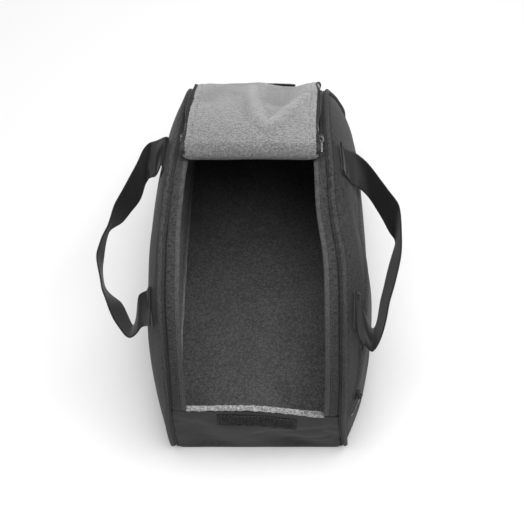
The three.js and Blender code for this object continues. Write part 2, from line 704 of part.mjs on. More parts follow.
// Pocket slider at the front end of the pocket zip, with a loop pull hanging on down from it
const POCKET_PULL = { length: 37, half: 3, slot: { half: 1.4, from: 12, to: 33 } };
const POCKET_SLIDER_PLACE = 0.95;
const pocketSpot = pocketPoint(POCKET_SLIDER_PLACE, 0);
const pocketOutward = surfaceNormal(pocketPoint, POCKET_SLIDER_PLACE, 0, -1);
const pocketAhead = pocketPoint(POCKET_SLIDER_PLACE + 0.02, 0)
  .sub(pocketPoint(POCKET_SLIDER_PLACE - 0.02, 0))
  .normalize();
pocketSpot.addScaledVector(pocketOutward, POCKET_ZIP_THICK + 3 * GAP);
addSlider('pocket', pocketSpot, pocketAhead, pocketOutward, POCKET_PULL, trim);

export default bag;
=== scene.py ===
"""Helmet bag standing open with its flap folded back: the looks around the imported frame."""

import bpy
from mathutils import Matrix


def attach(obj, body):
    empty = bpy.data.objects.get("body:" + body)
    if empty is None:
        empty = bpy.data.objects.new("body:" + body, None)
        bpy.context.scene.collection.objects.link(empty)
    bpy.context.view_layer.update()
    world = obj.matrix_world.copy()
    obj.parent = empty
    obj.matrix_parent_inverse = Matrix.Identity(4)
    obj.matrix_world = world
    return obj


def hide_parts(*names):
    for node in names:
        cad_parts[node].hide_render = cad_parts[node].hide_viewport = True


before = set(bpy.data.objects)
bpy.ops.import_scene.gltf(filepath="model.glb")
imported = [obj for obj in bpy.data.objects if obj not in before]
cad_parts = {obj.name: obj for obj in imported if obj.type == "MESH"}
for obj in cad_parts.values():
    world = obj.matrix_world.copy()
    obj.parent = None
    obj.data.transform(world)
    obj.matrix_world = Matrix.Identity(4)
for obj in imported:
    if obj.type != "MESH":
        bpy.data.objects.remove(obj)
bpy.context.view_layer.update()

import logging
import math
from dataclasses import dataclass, field
from enum import Enum
from functools import lru_cache
from typing import Callable, Optional, Sequence

import bmesh
import bpy
from mathutils import Matrix, Vector, noise

LOG = logging.getLogger("helmet_bag")
BAG = "bag"
MM = 0.001
FULL_TURN = 2 * math.pi
HEART = (0.0, 0.0, 0.15)  # middle of the bag in metres, which its outer faces look away from
FLAP_HEART = (0.0, 0.05, 0.15)  # the same for what lies folded back on the rear top
BELOW = (0.0, 0.0, -1.0)  # the same for what lies flat on the ground
WELD = 0.00002  # metres below which two points of a sleeve are one
SEAM_SHADE = 2.0  # millimetres of a cloth that lie in the shade of its seam
PIPING_COVER = 3.7  # millimetres of a cloth's edge that the piping hides
WAVE_PERIOD = 0.31416  # a wave texture of scale 1 repeats after this length
THREADS, FOLD, SEAM = "cloth", "fold", "seam"  # the meshes' own layers that the finishes read

Flat = tuple[float, float]
Surface = Callable[[float, float], Vector]
Route = Callable[[float], tuple[Vector, Vector]]
Station = tuple[Vector, Vector, Vector]
Section = Callable[[float], tuple[float, float]]


class Side(Enum):
    """A side of the bag, by the sign of its X."""

    LEFT = -1
    RIGHT = 1

    @property
    def word(self) -> str:
        """The side's name as the pieces spell it."""
        return self.name.lower()


@dataclass(frozen=True)
class Table:
    """Smooth curve through a few rows whose first column is the place."""

    rows: tuple[tuple[float, ...], ...]

    def value(self, at: float, column: int = 1) -> float:
        """Read a column between the rows.

        Args:
            at: Place along the first column.
            column: Which column to read.

        Returns:
            The smooth value there.
        """
        rows = self.rows
        last = len(rows) - 1
        i = 0
        while i < last - 1 and at > rows[i + 1][0]:
            i += 1
        span = rows[i + 1][0] - rows[i][0]
        t = min(max((at - rows[i][0]) / span, 0.0), 1.0)
        rise = t * t * (3 - 2 * t)
        bend = (1 - t) * self._slope(i, column) - t * self._slope(i + 1, column)
        ends = rows[i][column] * (1 - rise) + rows[i + 1][column] * rise
        return ends + span * t * (1 - t) * bend

    def _slope(self, k: int, column: int) -> float:
        """Slope of a column at a row.

        Args:
            k: Number of the row.
            column: Which column.

        Returns:
            Its rise over the first column.
        """
        before = self.rows[max(k - 1, 0)]
        after = self.rows[min(k + 1, len(self.rows) - 1)]
        return (after[column] - before[column]) / (after[0] - before[0])


def smoothstep(value: float, low: float, high: float) -> float:
    """Ease from 0 at low to 1 at high."""
    t = min(max((value - low) / (high - low), 0.0), 1.0)
    return t * t * (3 - 2 * t)


def mix(a: float, b: float, share: float) -> float:
    """Value at a share of the way from a to b."""
    return a + (b - a) * share


@dataclass(frozen=True)
class Form:
    """The bag's outer form in millimetres, within a few of the frame's."""

    front_reach: float = 230.0
    back_reach: float = 248.0
    height: float = 308.0
    front_fullness: float = 2.8
    back_fullness: float = 2.78
    foot: float = 2.85
    upright: float = 12.0
    upright_spread: float = 1.4
    base_swell: float = 6.0
    belly_left: float = 25.0
    belly_right: float = 34.0
    belly_fullness: float = 1.6
    crown_front: float = 6.0
    crown_back: float = 5.0
    heel: float = 8.0
    heel_across: tuple[float, float] = (70.0, 108.0)  # between these the rounding of the foot sets in
    heel_along: tuple[float, float] = (190.0, 220.0)
    heel_ends: float = 0.08  # how much of that rounding the front and the back have
    sole: float = 0.3
    fold_angle: float = 97.5
    # degrees round the arch, half-width between the piped seams, how far their middle lies to the right
    seams: Table = Table((
        (0, 118, 1), (12, 112.5, -0.5), (25, 108.5, 1.5), (45, 106, 2), (62, 106, 1), (75, 105, 0), (88, 99, -4),
        (97, 95, -3), (110, 91, -2), (130, 91, 0), (143, 95, 0), (155, 109, 0), (165, 121, 0), (180, 119, 0),
    ))
    # degrees round the arch, half-width of the mouth
    mouth: Table = Table(((20, 85), (45, 83), (75, 82), (88, 78), (98, 74)))
    # place across from -1 to 1, degrees round the arch at which the front wall ends
    lip: Table = Table(((-1, 19.5), (0, 20.4), (1, 15.6)))

    def arch(self, angle: float, inset: float = 0.0) -> tuple[float, float]:
        """Point of the side arch.

        Args:
            angle: Degrees round the arch, 0 at the front foot and 180 at the back one.
            inset: How far the arch is drawn in.

        Returns:
            Its Y and Z.
        """
        turn = math.radians(angle)
        front = angle < 90
        power = 2 / (self.front_fullness if front else self.back_fullness)
        reach = -(self.front_reach - inset) if front else self.back_reach - inset
        rise = max(math.sin(turn), 0.0) ** power
        return reach * abs(math.cos(turn)) ** power, self.foot + (self.height - self.foot - inset) * rise

    def arch_normal(self, angle: float) -> Vector:
        """Outward direction of the arch in the middle plane.

        Args:
            angle: Degrees round the arch.

        Returns:
            The direction.
        """
        y0, z0 = self.arch(max(angle - 1, 0))
        y1, z1 = self.arch(min(angle + 1, 180))
        return Vector((0, z0 - z1, y1 - y0)).normalized()

    def seam_half(self, angle: float) -> float:
        """Half-width between the piped seams."""
        return self.seams.value(angle, 1)

    def seam(self, side: Side, angle: float, inset: float = 0.0) -> Vector:
        """Point of a piped seam."""
        y, z = self.arch(angle, inset)
        return self.tuck(Vector((self.seams.value(angle, 2) + side.value * self.seam_half(angle), y, z)))

    def tuck(self, point: Vector) -> Vector:
        """Round the foot of the bag, where the cloth turns under on to the floor.

        Args:
            point: A place on the outer cloth.

        Returns:
            The place drawn in towards the base.
        """
        rise = point.z - self.foot
        if rise >= self.heel:
            return point
        drawn = self.heel - math.sqrt(max(self.heel ** 2 - (self.heel - rise) ** 2, 0.0))
        x = point.x - math.copysign(drawn * smoothstep(abs(point.x), *self.heel_across), point.x)
        y = point.y - math.copysign(self.heel_ends * drawn * smoothstep(abs(point.y), *self.heel_along), point.y)
        return Vector((x, y, point.z - (self.foot - self.sole) * (1 - smoothstep(rise, 0, self.heel))))

    def band(self, angle: float, x: float, lift: float = 0.0) -> Vector:
        """Point of the band between the side panels.

        Args:
            angle: Degrees round the arch.
            x: Place across, from the band's own middle line.
            lift: Height over the cloth.

        Returns:
            The point.
        """
        y, z = self.arch(angle)
        crown = self.crown_front if angle < 90 else self.crown_back
        fullness = max(math.sin(math.radians(min(angle, 180 - angle) * 2)), 0.0)
        across = x / self.seam_half(angle)
        rise = crown * fullness * max(1 - across * across, 0.0)
        spot = self.tuck(Vector((self.seams.value(angle, 2) + x, y, z)))
        return spot + self.arch_normal(angle) * (rise + lift)

    def side(self, side: Side, along: float, up: float, inset: float = 3.35) -> Vector:
        """Point of a side panel.

        Args:
            side: Which panel.
            along: 0 at the front to 1 at the back.
            up: 0 at the base to 1 at the arch.
            inset: How far the panel stops from the middle of its seam.

        Returns:
            The point.
        """
        corners = _corners(self, side, inset)
        bottom = corners[0].lerp(corners[1], along)
        bottom.x += side.value * self.base_swell * 4 * along * (1 - along)
        rise = self.upright * max(up, 0.0) ** self.upright_spread
        point = bottom * (1 - up) + self.seam(side, mix(self.upright, 180 - self.upright, along), inset) * up
        point += self.seam(side, rise, inset) * (1 - along) + self.seam(side, 180 - rise, inset) * along
        point -= corners[0] * ((1 - along) * (1 - up)) + corners[1] * (along * (1 - up))
        point -= corners[2] * ((1 - along) * up) + corners[3] * (along * up)
        dome = 16 * along * (1 - along) * up * (1 - up)
        belly = self.belly_left if side is Side.LEFT else self.belly_right
        point.x += side.value * belly * (1 - (1 - dome) ** self.belly_fullness)
        return point


@lru_cache(maxsize=None)
def _corners(form: Form, side: Side, inset: float) -> tuple[Vector, ...]:
    """The four corners of a side panel: front foot, back foot, front top, back top."""
    return tuple(form.seam(side, angle, inset) for angle in (0, 180, form.upright, 180 - form.upright))


FORM = Form()


@dataclass(frozen=True)
class Crease:
    """A soft fold along places on a cloth, in shares of its width and length."""

    path: tuple[tuple[float, float], ...]
    depth: float
    width: float

    def height(self, u: float, v: float, flat: Flat) -> float:
        """Height of the fold at a place.

        Args:
            u: Share of the cloth's width.
            v: Share of its length.
            flat: Width and length in metres.

        Returns:
            Millimetres off the smooth cloth; a fold pressed in is negative.
        """
        scale = Vector((flat[0] / MM, flat[1] / MM))
        spot = Vector((u, v)) * scale
        far = math.inf
        for start, end in zip(self.path, self.path[1:]):
            a = Vector(start) * scale
            run = Vector(end) * scale - a
            t = min(max((spot - a).dot(run) / run.length_squared, 0.0), 1.0)
            far = min(far, (spot - a - run * t).length)
        return -self.depth * math.exp(-((far / self.width) ** 2))


@dataclass(frozen=True)
class Relief:
    """Unevenness of a cloth in millimetres: slow swells, ripples, pile, pressed folds and sewn-in edges."""

    swell: float = 0.0
    swell_size: float = 90.0
    ripple: float = 0.0
    ripple_size: float = 22.0
    pile: float = 0.0
    pile_size: float = 3.2
    pile_detail: float = 2.1  # how much finer the second layer of tufts is
    pile_share: float = 0.5  # and how much lower
    pile_seed: float = 7.0
    edge_dip: float = 0.0
    edge_width: float = 5.0
    edge_cover: float = 0.0  # how much of the edge lies below the piping or in a fold
    edges: str = ""  # which edges are sewn in: l, r, b and t
    creases: tuple[Crease, ...] = ()
    calm_foot: float = 0.0
    seed: float = 0.0

    def height(self, u: float, v: float, flat: Flat) -> float:
        """Height of the cloth over its smooth surface.

        Args:
            u: Share of the cloth's width.
            v: Share of its length.
            flat: Width and length in metres.

        Returns:
            The height in millimetres.
        """
        x, y = u * flat[0] / MM, v * flat[1] / MM
        up = 0.0
        for size, depth in ((self.swell_size, self.swell), (self.ripple_size, self.ripple)):
            if depth:
                up += depth * noise.noise(Vector((x / size, y / size, self.seed)))
        if self.pile:
            place = Vector((x / self.pile_size, y / self.pile_size, self.seed + self.pile_seed))
            up += self.pile * (noise.noise(place) + self.pile_share * noise.noise(place * self.pile_detail))
        up += self.fold(u, v, flat)
        if self.calm_foot:
            up *= smoothstep(y, 0.0, self.calm_foot)
        if self.edge_dip:
            up -= self.edge_dip * math.exp(-((self._edge_distance(x, y, flat) / self.edge_width) ** 2))
        return up

    def fold(self, u: float, v: float, flat: Flat) -> float:
        """Millimetres that come from the pressed folds alone."""
        return sum(crease.height(u, v, flat) for crease in self.creases)

    def seam(self, u: float, v: float, flat: Flat) -> float:
        """How near a sewn edge is.

        Args:
            u: Share of the cloth's width.
            v: Share of its length.
            flat: Width and length in metres.

        Returns:
            From 0 on the open cloth to 1 at the stitches, where the cloth's finish paints the most shade.
        """
        if not self.edges:
            return 0.0
        far = self._edge_distance(u * flat[0] / MM, v * flat[1] / MM, flat)
        return math.exp(-((far / SEAM_SHADE) ** 2))

    def _edge_distance(self, x: float, y: float, flat: Flat) -> float:
        """Millimetres to where the nearest sewn edge comes out."""
        far = {"l": x, "r": flat[0] / MM - x, "b": y, "t": flat[1] / MM - y}
        return max(min(far[edge] for edge in self.edges) - self.edge_cover, 0.0)


def linear(hex_colour: str) -> tuple[float, float, float, float]:
    """Turn an sRGB hex value into linear colour, by the standard's own curve.

    Args:
        hex_colour: Six hex digits with a leading hash.

    Returns:
        Linear red, green, blue and alpha.
    """
    channels = [int(hex_colour[i:i + 2], 16) / 255 for i in (1, 3, 5)]
    bent = [c / 12.92 if c <= 0.04045 else ((c + 0.055) / 1.055) ** 2.4 for c in channels]
    return (*bent, 1.0)


def add_node(tree: bpy.types.NodeTree, kind: str, inputs: Optional[dict] = None,
             stops: Sequence[tuple[float, str]] = (), **settings: object) -> bpy.types.Node:
    """Add a node with its settings and links.

    Args:
        tree: The material's node tree.
        kind: The node's type name.
        inputs: Values, or sockets to link, by input name or number.
        stops: Place and hex colour of each stop, on a node with a ramp.
        settings: Properties of the node.

    Returns:
        The node.
    """
    node = tree.nodes.new(kind)
    for name, value in settings.items():
        setattr(node, name, value)
    for name, value in (inputs or {}).items():
        if isinstance(value, bpy.types.NodeSocket):
            tree.links.new(value, node.inputs[name])
        else:
            node.inputs[name].default_value = value
    if stops:
        points = node.color_ramp.elements
        while len(points) < len(stops):
            points.new(0.5)
        for point, (place, colour) in zip(points, stops):
            point.position = place
            point.color = linear(colour)
    return node


def start_material(name: str, constants: dict) -> tuple[bpy.types.Material, bpy.types.NodeTree, bpy.types.Node]:
    """Make a material that holds only its shader and its output.

    Args:
        name: The material's name.
        constants: Values set on the shader's own sockets.

    Returns:
        The material, its tree and its shader.
    """
    material = bpy.data.materials.new(name)
    material.use_nodes = True
    tree = material.node_tree
    tree.nodes.clear()
    shader = add_node(tree, "ShaderNodeBsdfPrincipled", constants)
    add_node(tree, "ShaderNodeOutputMaterial", {"Surface": shader.outputs["BSDF"]})
    return material, tree, shader


@dataclass(frozen=True)
class WovenCloth:
    """Woven polyester: plain weave of dull yarn, so it shows as a fine light and dark speckle."""

    name: str
    dark: str
    light: str
    shade: str = "#020203"
    tones: tuple[float, float, float] = (0.24, 0.44, 0.84)  # where the shade, dark and light stand
    thread_mm: float = 1.1  # real threads are 0.5 mm apart, drawn coarser so that they show
    slub_mm: float = 5.0  # how far one yarn keeps its tone
    speckle_mm: float = 1.5
    speckle_share: float = 0.25
    drift_mm: float = 70.0
    drift_share: float = 0.3
    # how far a sewn edge is darkened, as painted shade
    seam_tone: float = 0.9
    roughness: float = 0.86
    sheen: float = 0.05
    bump: float = 0.4
    bump_mm: float = 0.4

    def material(self) -> bpy.types.Material:
        """Build the finish.

        Returns:
            The material.
        """
        material, tree, shader = start_material(self.name, {
            "Roughness": self.roughness, "Sheen Weight": self.sheen, "Sheen Roughness": 0.5,
            "Specular IOR Level": 0.2, "IOR": 1.5,
        })
        uv = add_node(tree, "ShaderNodeUVMap", uv_map=THREADS).outputs["UV"]
        yarns = []
        for across, along in ((self.slub_mm, self.thread_mm), (self.thread_mm, self.slub_mm)):
            drawn = add_node(tree, "ShaderNodeMapping", {
                "Vector": uv, "Scale": (1 / (across * MM), 1 / (along * MM), 1.0)}).outputs["Vector"]
            yarns.append(add_node(tree, "ShaderNodeTexNoise", {
                "Vector": drawn, "Scale": 1.0, "Detail": 1.0}).outputs["Fac"])
        weave = add_node(tree, "ShaderNodeMath", {0: yarns[0], 1: yarns[1]}, operation="ADD").outputs[0]
        speckle = add_node(tree, "ShaderNodeTexNoise", {
            "Vector": uv, "Scale": 1 / (self.speckle_mm * MM), "Detail": 2.0}).outputs["Fac"]
        drift = add_node(tree, "ShaderNodeTexNoise", {
            "Vector": uv, "Scale": 1 / (self.drift_mm * MM), "Detail": 3.0}).outputs["Fac"]
        fine = add_node(tree, "ShaderNodeMath", {0: speckle, 1: self.speckle_share, 2: weave},
                        operation="MULTIPLY_ADD").outputs[0]
        toned = add_node(tree, "ShaderNodeMath", {0: drift, 1: self.drift_share, 2: fine},
                         operation="MULTIPLY_ADD").outputs[0]
        # painted shade: the cloth darkens towards a sewn edge, down to the shade colour, for the shade in the seam's
        # groove
        sewn = add_node(tree, "ShaderNodeAttribute", attribute_name=SEAM).outputs["Fac"]
        toned = add_node(tree, "ShaderNodeMath", {0: sewn, 1: -self.seam_tone, 2: toned},
                         operation="MULTIPLY_ADD").outputs[0]
        halved = add_node(tree, "ShaderNodeMath", {0: toned, 1: 0.5}, operation="MULTIPLY").outputs[0]
        colour = add_node(tree, "ShaderNodeValToRGB", {"Fac": halved},
                          stops=tuple(zip(self.tones, (self.shade, self.dark, self.light))))
        tree.links.new(colour.outputs["Color"], shader.inputs["Base Color"])
        bump = add_node(tree, "ShaderNodeBump", {
            "Height": fine, "Strength": self.bump, "Distance": self.bump_mm * MM})
        tree.links.new(bump.outputs["Normal"], shader.inputs["Normal"])
        return material


@dataclass(frozen=True)
class Pile:
    """Knitted pile such as fleece or loop tape: short curled fibres that stand in small clumps."""

    name: str
    dark: str
    middle: str
    light: str
    tones: tuple[float, float, float] = (0.58, 0.82, 1.0)  # where the dark, middle and light stand
    clump_mm: float = 2.6
    fibre_mm: float = 0.9  # real fibres are far thinner, drawn coarser so that they show
    fibre_share: float = 0.5
    drift_mm: float = 45.0
    drift_share: float = 0.2
    fold_tone: float = 0.03  # painted light and shade: raised folds are painted lighter and hollows darker, per millimetre
    roughness: float = 0.95
    sheen: float = 0.5
    bump: float = 0.7
    height_mm: float = 1.6

    def material(self) -> bpy.types.Material:
        """Build the finish.

        Returns:
            The material.
        """
        material, tree, shader = start_material(self.name, {
            "Roughness": self.roughness, "Sheen Weight": self.sheen, "Sheen Roughness": 0.6,
            "Specular IOR Level": 0.2, "IOR": 1.5,
        })
        place = add_node(tree, "ShaderNodeTexCoord").outputs["Object"]
        clumps = add_node(tree, "ShaderNodeTexNoise", {
            "Vector": place, "Scale": 1 / (self.clump_mm * MM), "Detail": 2.0, "Distortion": 0.6}).outputs["Fac"]
        fibres = add_node(tree, "ShaderNodeTexNoise", {
            "Vector": place, "Scale": 1 / (self.fibre_mm * MM), "Detail": 2.0}).outputs["Fac"]
        drift = add_node(tree, "ShaderNodeTexNoise", {
            "Vector": place, "Scale": 1 / (self.drift_mm * MM)}).outputs["Fac"]
        nap = add_node(tree, "ShaderNodeMath", {0: fibres, 1: self.fibre_share, 2: clumps},
                       operation="MULTIPLY_ADD").outputs[0]
        toned = add_node(tree, "ShaderNodeMath", {0: drift, 1: self.drift_share, 2: nap},
                         operation="MULTIPLY_ADD").outputs[0]
        # painted highlight on raised folds, painted shade in their hollows
        fold = add_node(tree, "ShaderNodeAttribute", attribute_name=FOLD).outputs["Fac"]
        toned = add_node(tree, "ShaderNodeMath", {0: fold, 1: self.fold_tone, 2: toned},
                         operation="MULTIPLY_ADD").outputs[0]
        colour = add_node(tree, "ShaderNodeValToRGB", {"Fac": toned},
                          stops=tuple(zip(self.tones, (self.dark, self.middle, self.light))))
        tree.links.new(colour.outputs["Color"], shader.inputs["Base Color"])
        bump = add_node(tree, "ShaderNodeBump", {
            "Height": nap, "Strength": self.bump, "Distance": self.height_mm * MM})
        tree.links.new(bump.outputs["Normal"], shader.inputs["Normal"])
        return material


@dataclass(frozen=True)
class RibbedTape:
    """Warp-faced polypropylene webbing: smooth yarn ribs along its length with a faint shine."""

    name: str
    dark: str
    light: str
    tones: tuple[float, float] = (0.35, 1.0)  # where the dark and the light stand
    rib_mm: float = 3.143  # drawn a little wider than the real yarn ribs so that they show
    cross_mm: float = 1.8
    cross_share: float = 0.35
    worn_mm: float = 9.0
    worn_share: float = 0.6
    roughness: float = 0.6
    sheen: float = 0.15
    bump: float = 0.45
    bump_mm: float = 0.35

    def material(self) -> bpy.types.Material:
        """Build the finish.

        Returns:
            The material.
        """
        material, tree, shader = start_material(self.name, {
            "Roughness": self.roughness, "Sheen Weight": self.sheen, "Sheen Roughness": 0.4,
            "Specular IOR Level": 0.3, "IOR": 1.49,
        })
        uv = add_node(tree, "ShaderNodeUVMap", uv_map=THREADS).outputs["UV"]
        ribs = add_node(tree, "ShaderNodeTexWave", {"Vector": uv, "Scale": WAVE_PERIOD / (self.rib_mm * MM)},
                        wave_type="BANDS", bands_direction="X").outputs["Fac"]
        cross = add_node(tree, "ShaderNodeTexWave", {
            "Vector": uv, "Scale": WAVE_PERIOD / (self.cross_mm * MM), "Distortion": 2.0, "Detail": 1.0},
            wave_type="BANDS", bands_direction="Y").outputs["Fac"]
        worn = add_node(tree, "ShaderNodeTexNoise", {
            "Vector": uv, "Scale": 1 / (self.worn_mm * MM), "Detail": 3.0}).outputs["Fac"]
        both = add_node(tree, "ShaderNodeMath", {0: cross, 1: self.cross_share, 2: ribs},
                        operation="MULTIPLY_ADD").outputs[0]
        toned = add_node(tree, "ShaderNodeMath", {0: worn, 1: self.worn_share, 2: both},
                         operation="MULTIPLY_ADD").outputs[0]
        # partly painted highlight: the rib bands are painted lighter along the ribs' crests; the cross weave and the
        # worn patches are the tape's own tone
        colour = add_node(tree, "ShaderNodeValToRGB", {"Fac": toned},
                          stops=tuple(zip(self.tones, (self.dark, self.light))))
        tree.links.new(colour.outputs["Color"], shader.inputs["Base Color"])
        bump = add_node(tree, "ShaderNodeBump", {
            "Height": both, "Strength": self.bump, "Distance": self.bump_mm * MM})
        tree.links.new(bump.outputs["Normal"], shader.inputs["Normal"])
        return material


@dataclass(frozen=True)
class Moulded:
    """Smooth small part: die-cast and plated, painted, or nylon monofilament, with handling marks."""

    name: str
    colour: str
    mark: str
    tones: tuple[float, float] = (0.35, 0.6)  # where the marks end and the clean surface begins
    roughness: float = 0.35
    rubbed: float = 0.12  # how much rougher a mark is
    polished: float = 0.08  # and how much smoother the cleanest place
    metallic: float = 0.0
    mark_mm: float = 4.0

    def material(self) -> bpy.types.Material:
        """Build the finish.

        Returns:
            The material.
        """
        material, tree, shader = start_material(self.name, {"Metallic": self.metallic})
        place = add_node(tree, "ShaderNodeTexCoord").outputs["Object"]
        marks = add_node(tree, "ShaderNodeTexNoise", {
            "Vector": place, "Scale": 1 / (self.mark_mm * MM), "Detail": 4.0}).outputs["Fac"]
        colour = add_node(tree, "ShaderNodeValToRGB", {"Fac": marks},
                          stops=tuple(zip(self.tones, (self.mark, self.colour))))
        tree.links.new(colour.outputs["Color"], shader.inputs["Base Color"])
        rough = add_node(tree, "ShaderNodeMapRange", {
            "Value": marks, "To Min": self.roughness + self.rubbed,
            "To Max": max(self.roughness - self.polished, 0.05)})
        tree.links.new(rough.outputs["Result"], shader.inputs["Roughness"])
        return material


class Finish(Enum):
    """The bag's finishes."""

    # plain-woven polyester, dyed near black: a dull face with a fine grey speckle
    NYLON = WovenCloth("woven_polyester", "#0b0b0c", "#3d3d3e")
    # the same cloth's inner side: a little darker
    INNER = WovenCloth("woven_polyester_flap", "#0c0c0d", "#343435")
    # the same cloth drawn tight round a cord, painted lighter than the cloth: a painted highlight along the cord's
    # ridge
    PIPING = WovenCloth("piping_polyester", "#101011", "#434344")
    # ribbed grosgrain tape, pressed flat: smoother, greyer and a little shinier than the cloth
    BINDING = WovenCloth("grosgrain_binding", "#222224", "#464647", thread_mm=1.3, speckle_mm=2.2, roughness=0.7,
                         bump=0.2)
    # brushed polyester fleece: mid grey, matt, with small curled tufts that shade each other
    FLEECE = Pile("polyester_fleece", "#3a3a3b", "#535354", "#757576", clump_mm=2.1, fibre_mm=0.9, bump=1.0,
                  height_mm=2.4)
    # the fleece's folded edge: the same fleece painted lighter than the flat face, as painted light on the rolled
    # edge
    LIP = Pile("polyester_fleece_edge", "#434344", "#6a6a6b", "#989899", clump_mm=2.6, fibre_mm=1.0, bump=1.0)
    # the fleece inside the bag: the same fleece painted a darker grey as painted shade for the inside of the bag,
    # with flatter tufts
    LINING = Pile("polyester_fleece_lining", "#1e1e1f", "#333334", "#4c4c4d")
    # loop half of the closure, knitted nylon: black and woolly, with scattered light loops
    LOOP = Pile("loop_tape", "#050506", "#0e0e0f", "#2a2a2b", clump_mm=2.4, fibre_mm=0.9, sheen=0.05, bump=1.0)
    # hook half of the closure, cut nylon monofilament: black, with fine hard points
    HOOK = Pile("hook_tape", "#0d0d0e", "#171718", "#2a2a2b", clump_mm=1.6, fibre_mm=0.8, sheen=0.1, bump=0.9)
    # woven polypropylene webbing: deep black with lengthwise ribs and a soft shine
    WEBBING = RibbedTape("polypropylene_webbing", "#020203", "#161618")
    # woven polyester zip tape: flat black with very fine ribs
    ZIP_TAPE = RibbedTape("zip_tape", "#0a0a0b", "#1a1a1b", rib_mm=1.6, bump=0.3)
    # coiled nylon monofilament: dark grey and smooth, so each turn takes a small highlight
    COIL = Moulded("nylon_zip_coil", "#3a3a3c", "#262628", roughness=0.3, mark_mm=1.5)
    # bonded nylon thread: dark grey with a waxy half-shine
    THREAD = Moulded("bonded_thread", "#404042", "#2e2e30", roughness=0.6, mark_mm=2.0)
    # die-cast zinc, nickel plated: grey metal, a little dulled by handling
    PLATED = Moulded("plated_zinc", "#77787a", "#4c4d4f", roughness=0.36, metallic=1.0)
    # die-cast zinc, painted black: a satin coat without metal shine
    PAINTED = Moulded("painted_zinc", "#232325", "#161617", roughness=0.38)


@lru_cache(maxsize=None)
def material_of(finish: Finish) -> bpy.types.Material:
    """The one material of a finish."""
    return finish.value.material()


@dataclass(frozen=True)
class Wall:
    """Thickness of a cloth in millimetres, which way it grows, and how it is rounded."""

    thick: float
    offset: float = -1.0
    smooth: int = 1


def to_grid(surface: Surface, columns: int, rows: int, flat: Flat, relief: Optional[Relief] = None,
            middle: Sequence[float] = HEART, crowd: float = 0.0) -> bmesh.types.BMesh:
    """Lay a grid over a surface.

    Args:
        surface: Point in millimetres at two shares, each 0 to 1.
        columns: Cells across.
        rows: Cells along.
        flat: The cloth's flat width and length in metres, for its thread directions.
        relief: Unevenness along the surface's outward side.
        middle: Point in metres that the faces look away from.
        crowd: How much closer the cells stand at the edges, 0 to 1.

    Returns:
        The mesh, in metres.
    """
    def share(place: float) -> float:
        """Share of the cloth at a place from -1 to 1 of the new grid."""
        even = (place + 1) / 2
        return even - crowd * math.sin(FULL_TURN * even) / FULL_TURN

    bm = bmesh.new()
    threads = bm.loops.layers.uv.new(THREADS)
    bmesh.ops.create_grid(bm, x_segments=columns, y_segments=rows, size=1.0)
    bm.verts.index_update()
    shares = {vert.index: (share(vert.co.x), share(vert.co.y)) for vert in bm.verts}
    for face in bm.faces:
        for loop in face.loops:
            u, v = shares[loop.vert.index]
            loop[threads].uv = (u * flat[0], v * flat[1])
    for vert in bm.verts:
        vert.co = surface(*shares[vert.index]) * MM
    bm.normal_update()
    heart = Vector(middle)
    if sum(face.normal.dot(face.calc_center_median() - heart) for face in bm.faces) < 0:
        bmesh.ops.reverse_faces(bm, faces=bm.faces)
        bm.normal_update()
    if relief:
        # fold heights and nearness to a sewn edge, which the finishes paint as light and shade
        brushed = bm.verts.layers.float.new(FOLD)
        sewn = bm.verts.layers.float.new(SEAM)
        for vert in bm.verts:
            vert[brushed] = relief.fold(*shares[vert.index], flat)
            vert[sewn] = relief.seam(*shares[vert.index], flat)
        shifts = {vert.index: vert.normal * (relief.height(*shares[vert.index], flat) * MM) for vert in bm.verts}
        for vert in bm.verts:
            vert.co += shifts[vert.index]
    return bm


def to_sleeve(route: Callable[[float], Station], section: Section, sides: int, rows: int,
              flat: Flat) -> bmesh.types.BMesh:
    """Draw a closed section along a route.

    Args:
        route: Point, first and second cross direction at a share of the way, in millimetres.
        section: Offsets along the two directions at a share of the way round.
        sides: Cells round.
        rows: Cells along.
        flat: Girth and length in metres, for the thread directions.

    Returns:
        The closed mesh, in metres.
    """
    stations = [route(i / rows) for i in range(rows + 1)]

    def place(u: float, v: float) -> Vector:
        """Point of the sleeve.

        Args:
            u: Share of the way round.
            v: Share of the way along.

        Returns:
            The point in millimetres.
        """
        point, across, outward = stations[round(v * rows)]
        a, b = section(u)
        return point + across * a + outward * b

    bm = to_grid(place, sides, rows, flat)
    bmesh.ops.remove_doubles(bm, verts=bm.verts, dist=WELD)
    bmesh.ops.holes_fill(bm, edges=[edge for edge in bm.edges if edge.is_boundary], sides=0)
    bmesh.ops.recalc_face_normals(bm, faces=bm.faces)
    return bm


def oval(across: float, outward: float) -> Section:
    """Section of a round or flattened cord.

    Args:
        across: Half its width.
        outward: Half its height.

    Returns:
        The section.
    """
    def section(u: float) -> tuple[float, float]:
        """Offsets at a share of the way round."""
        return across * math.cos(FULL_TURN * u), outward * math.sin(FULL_TURN * u)

    return section


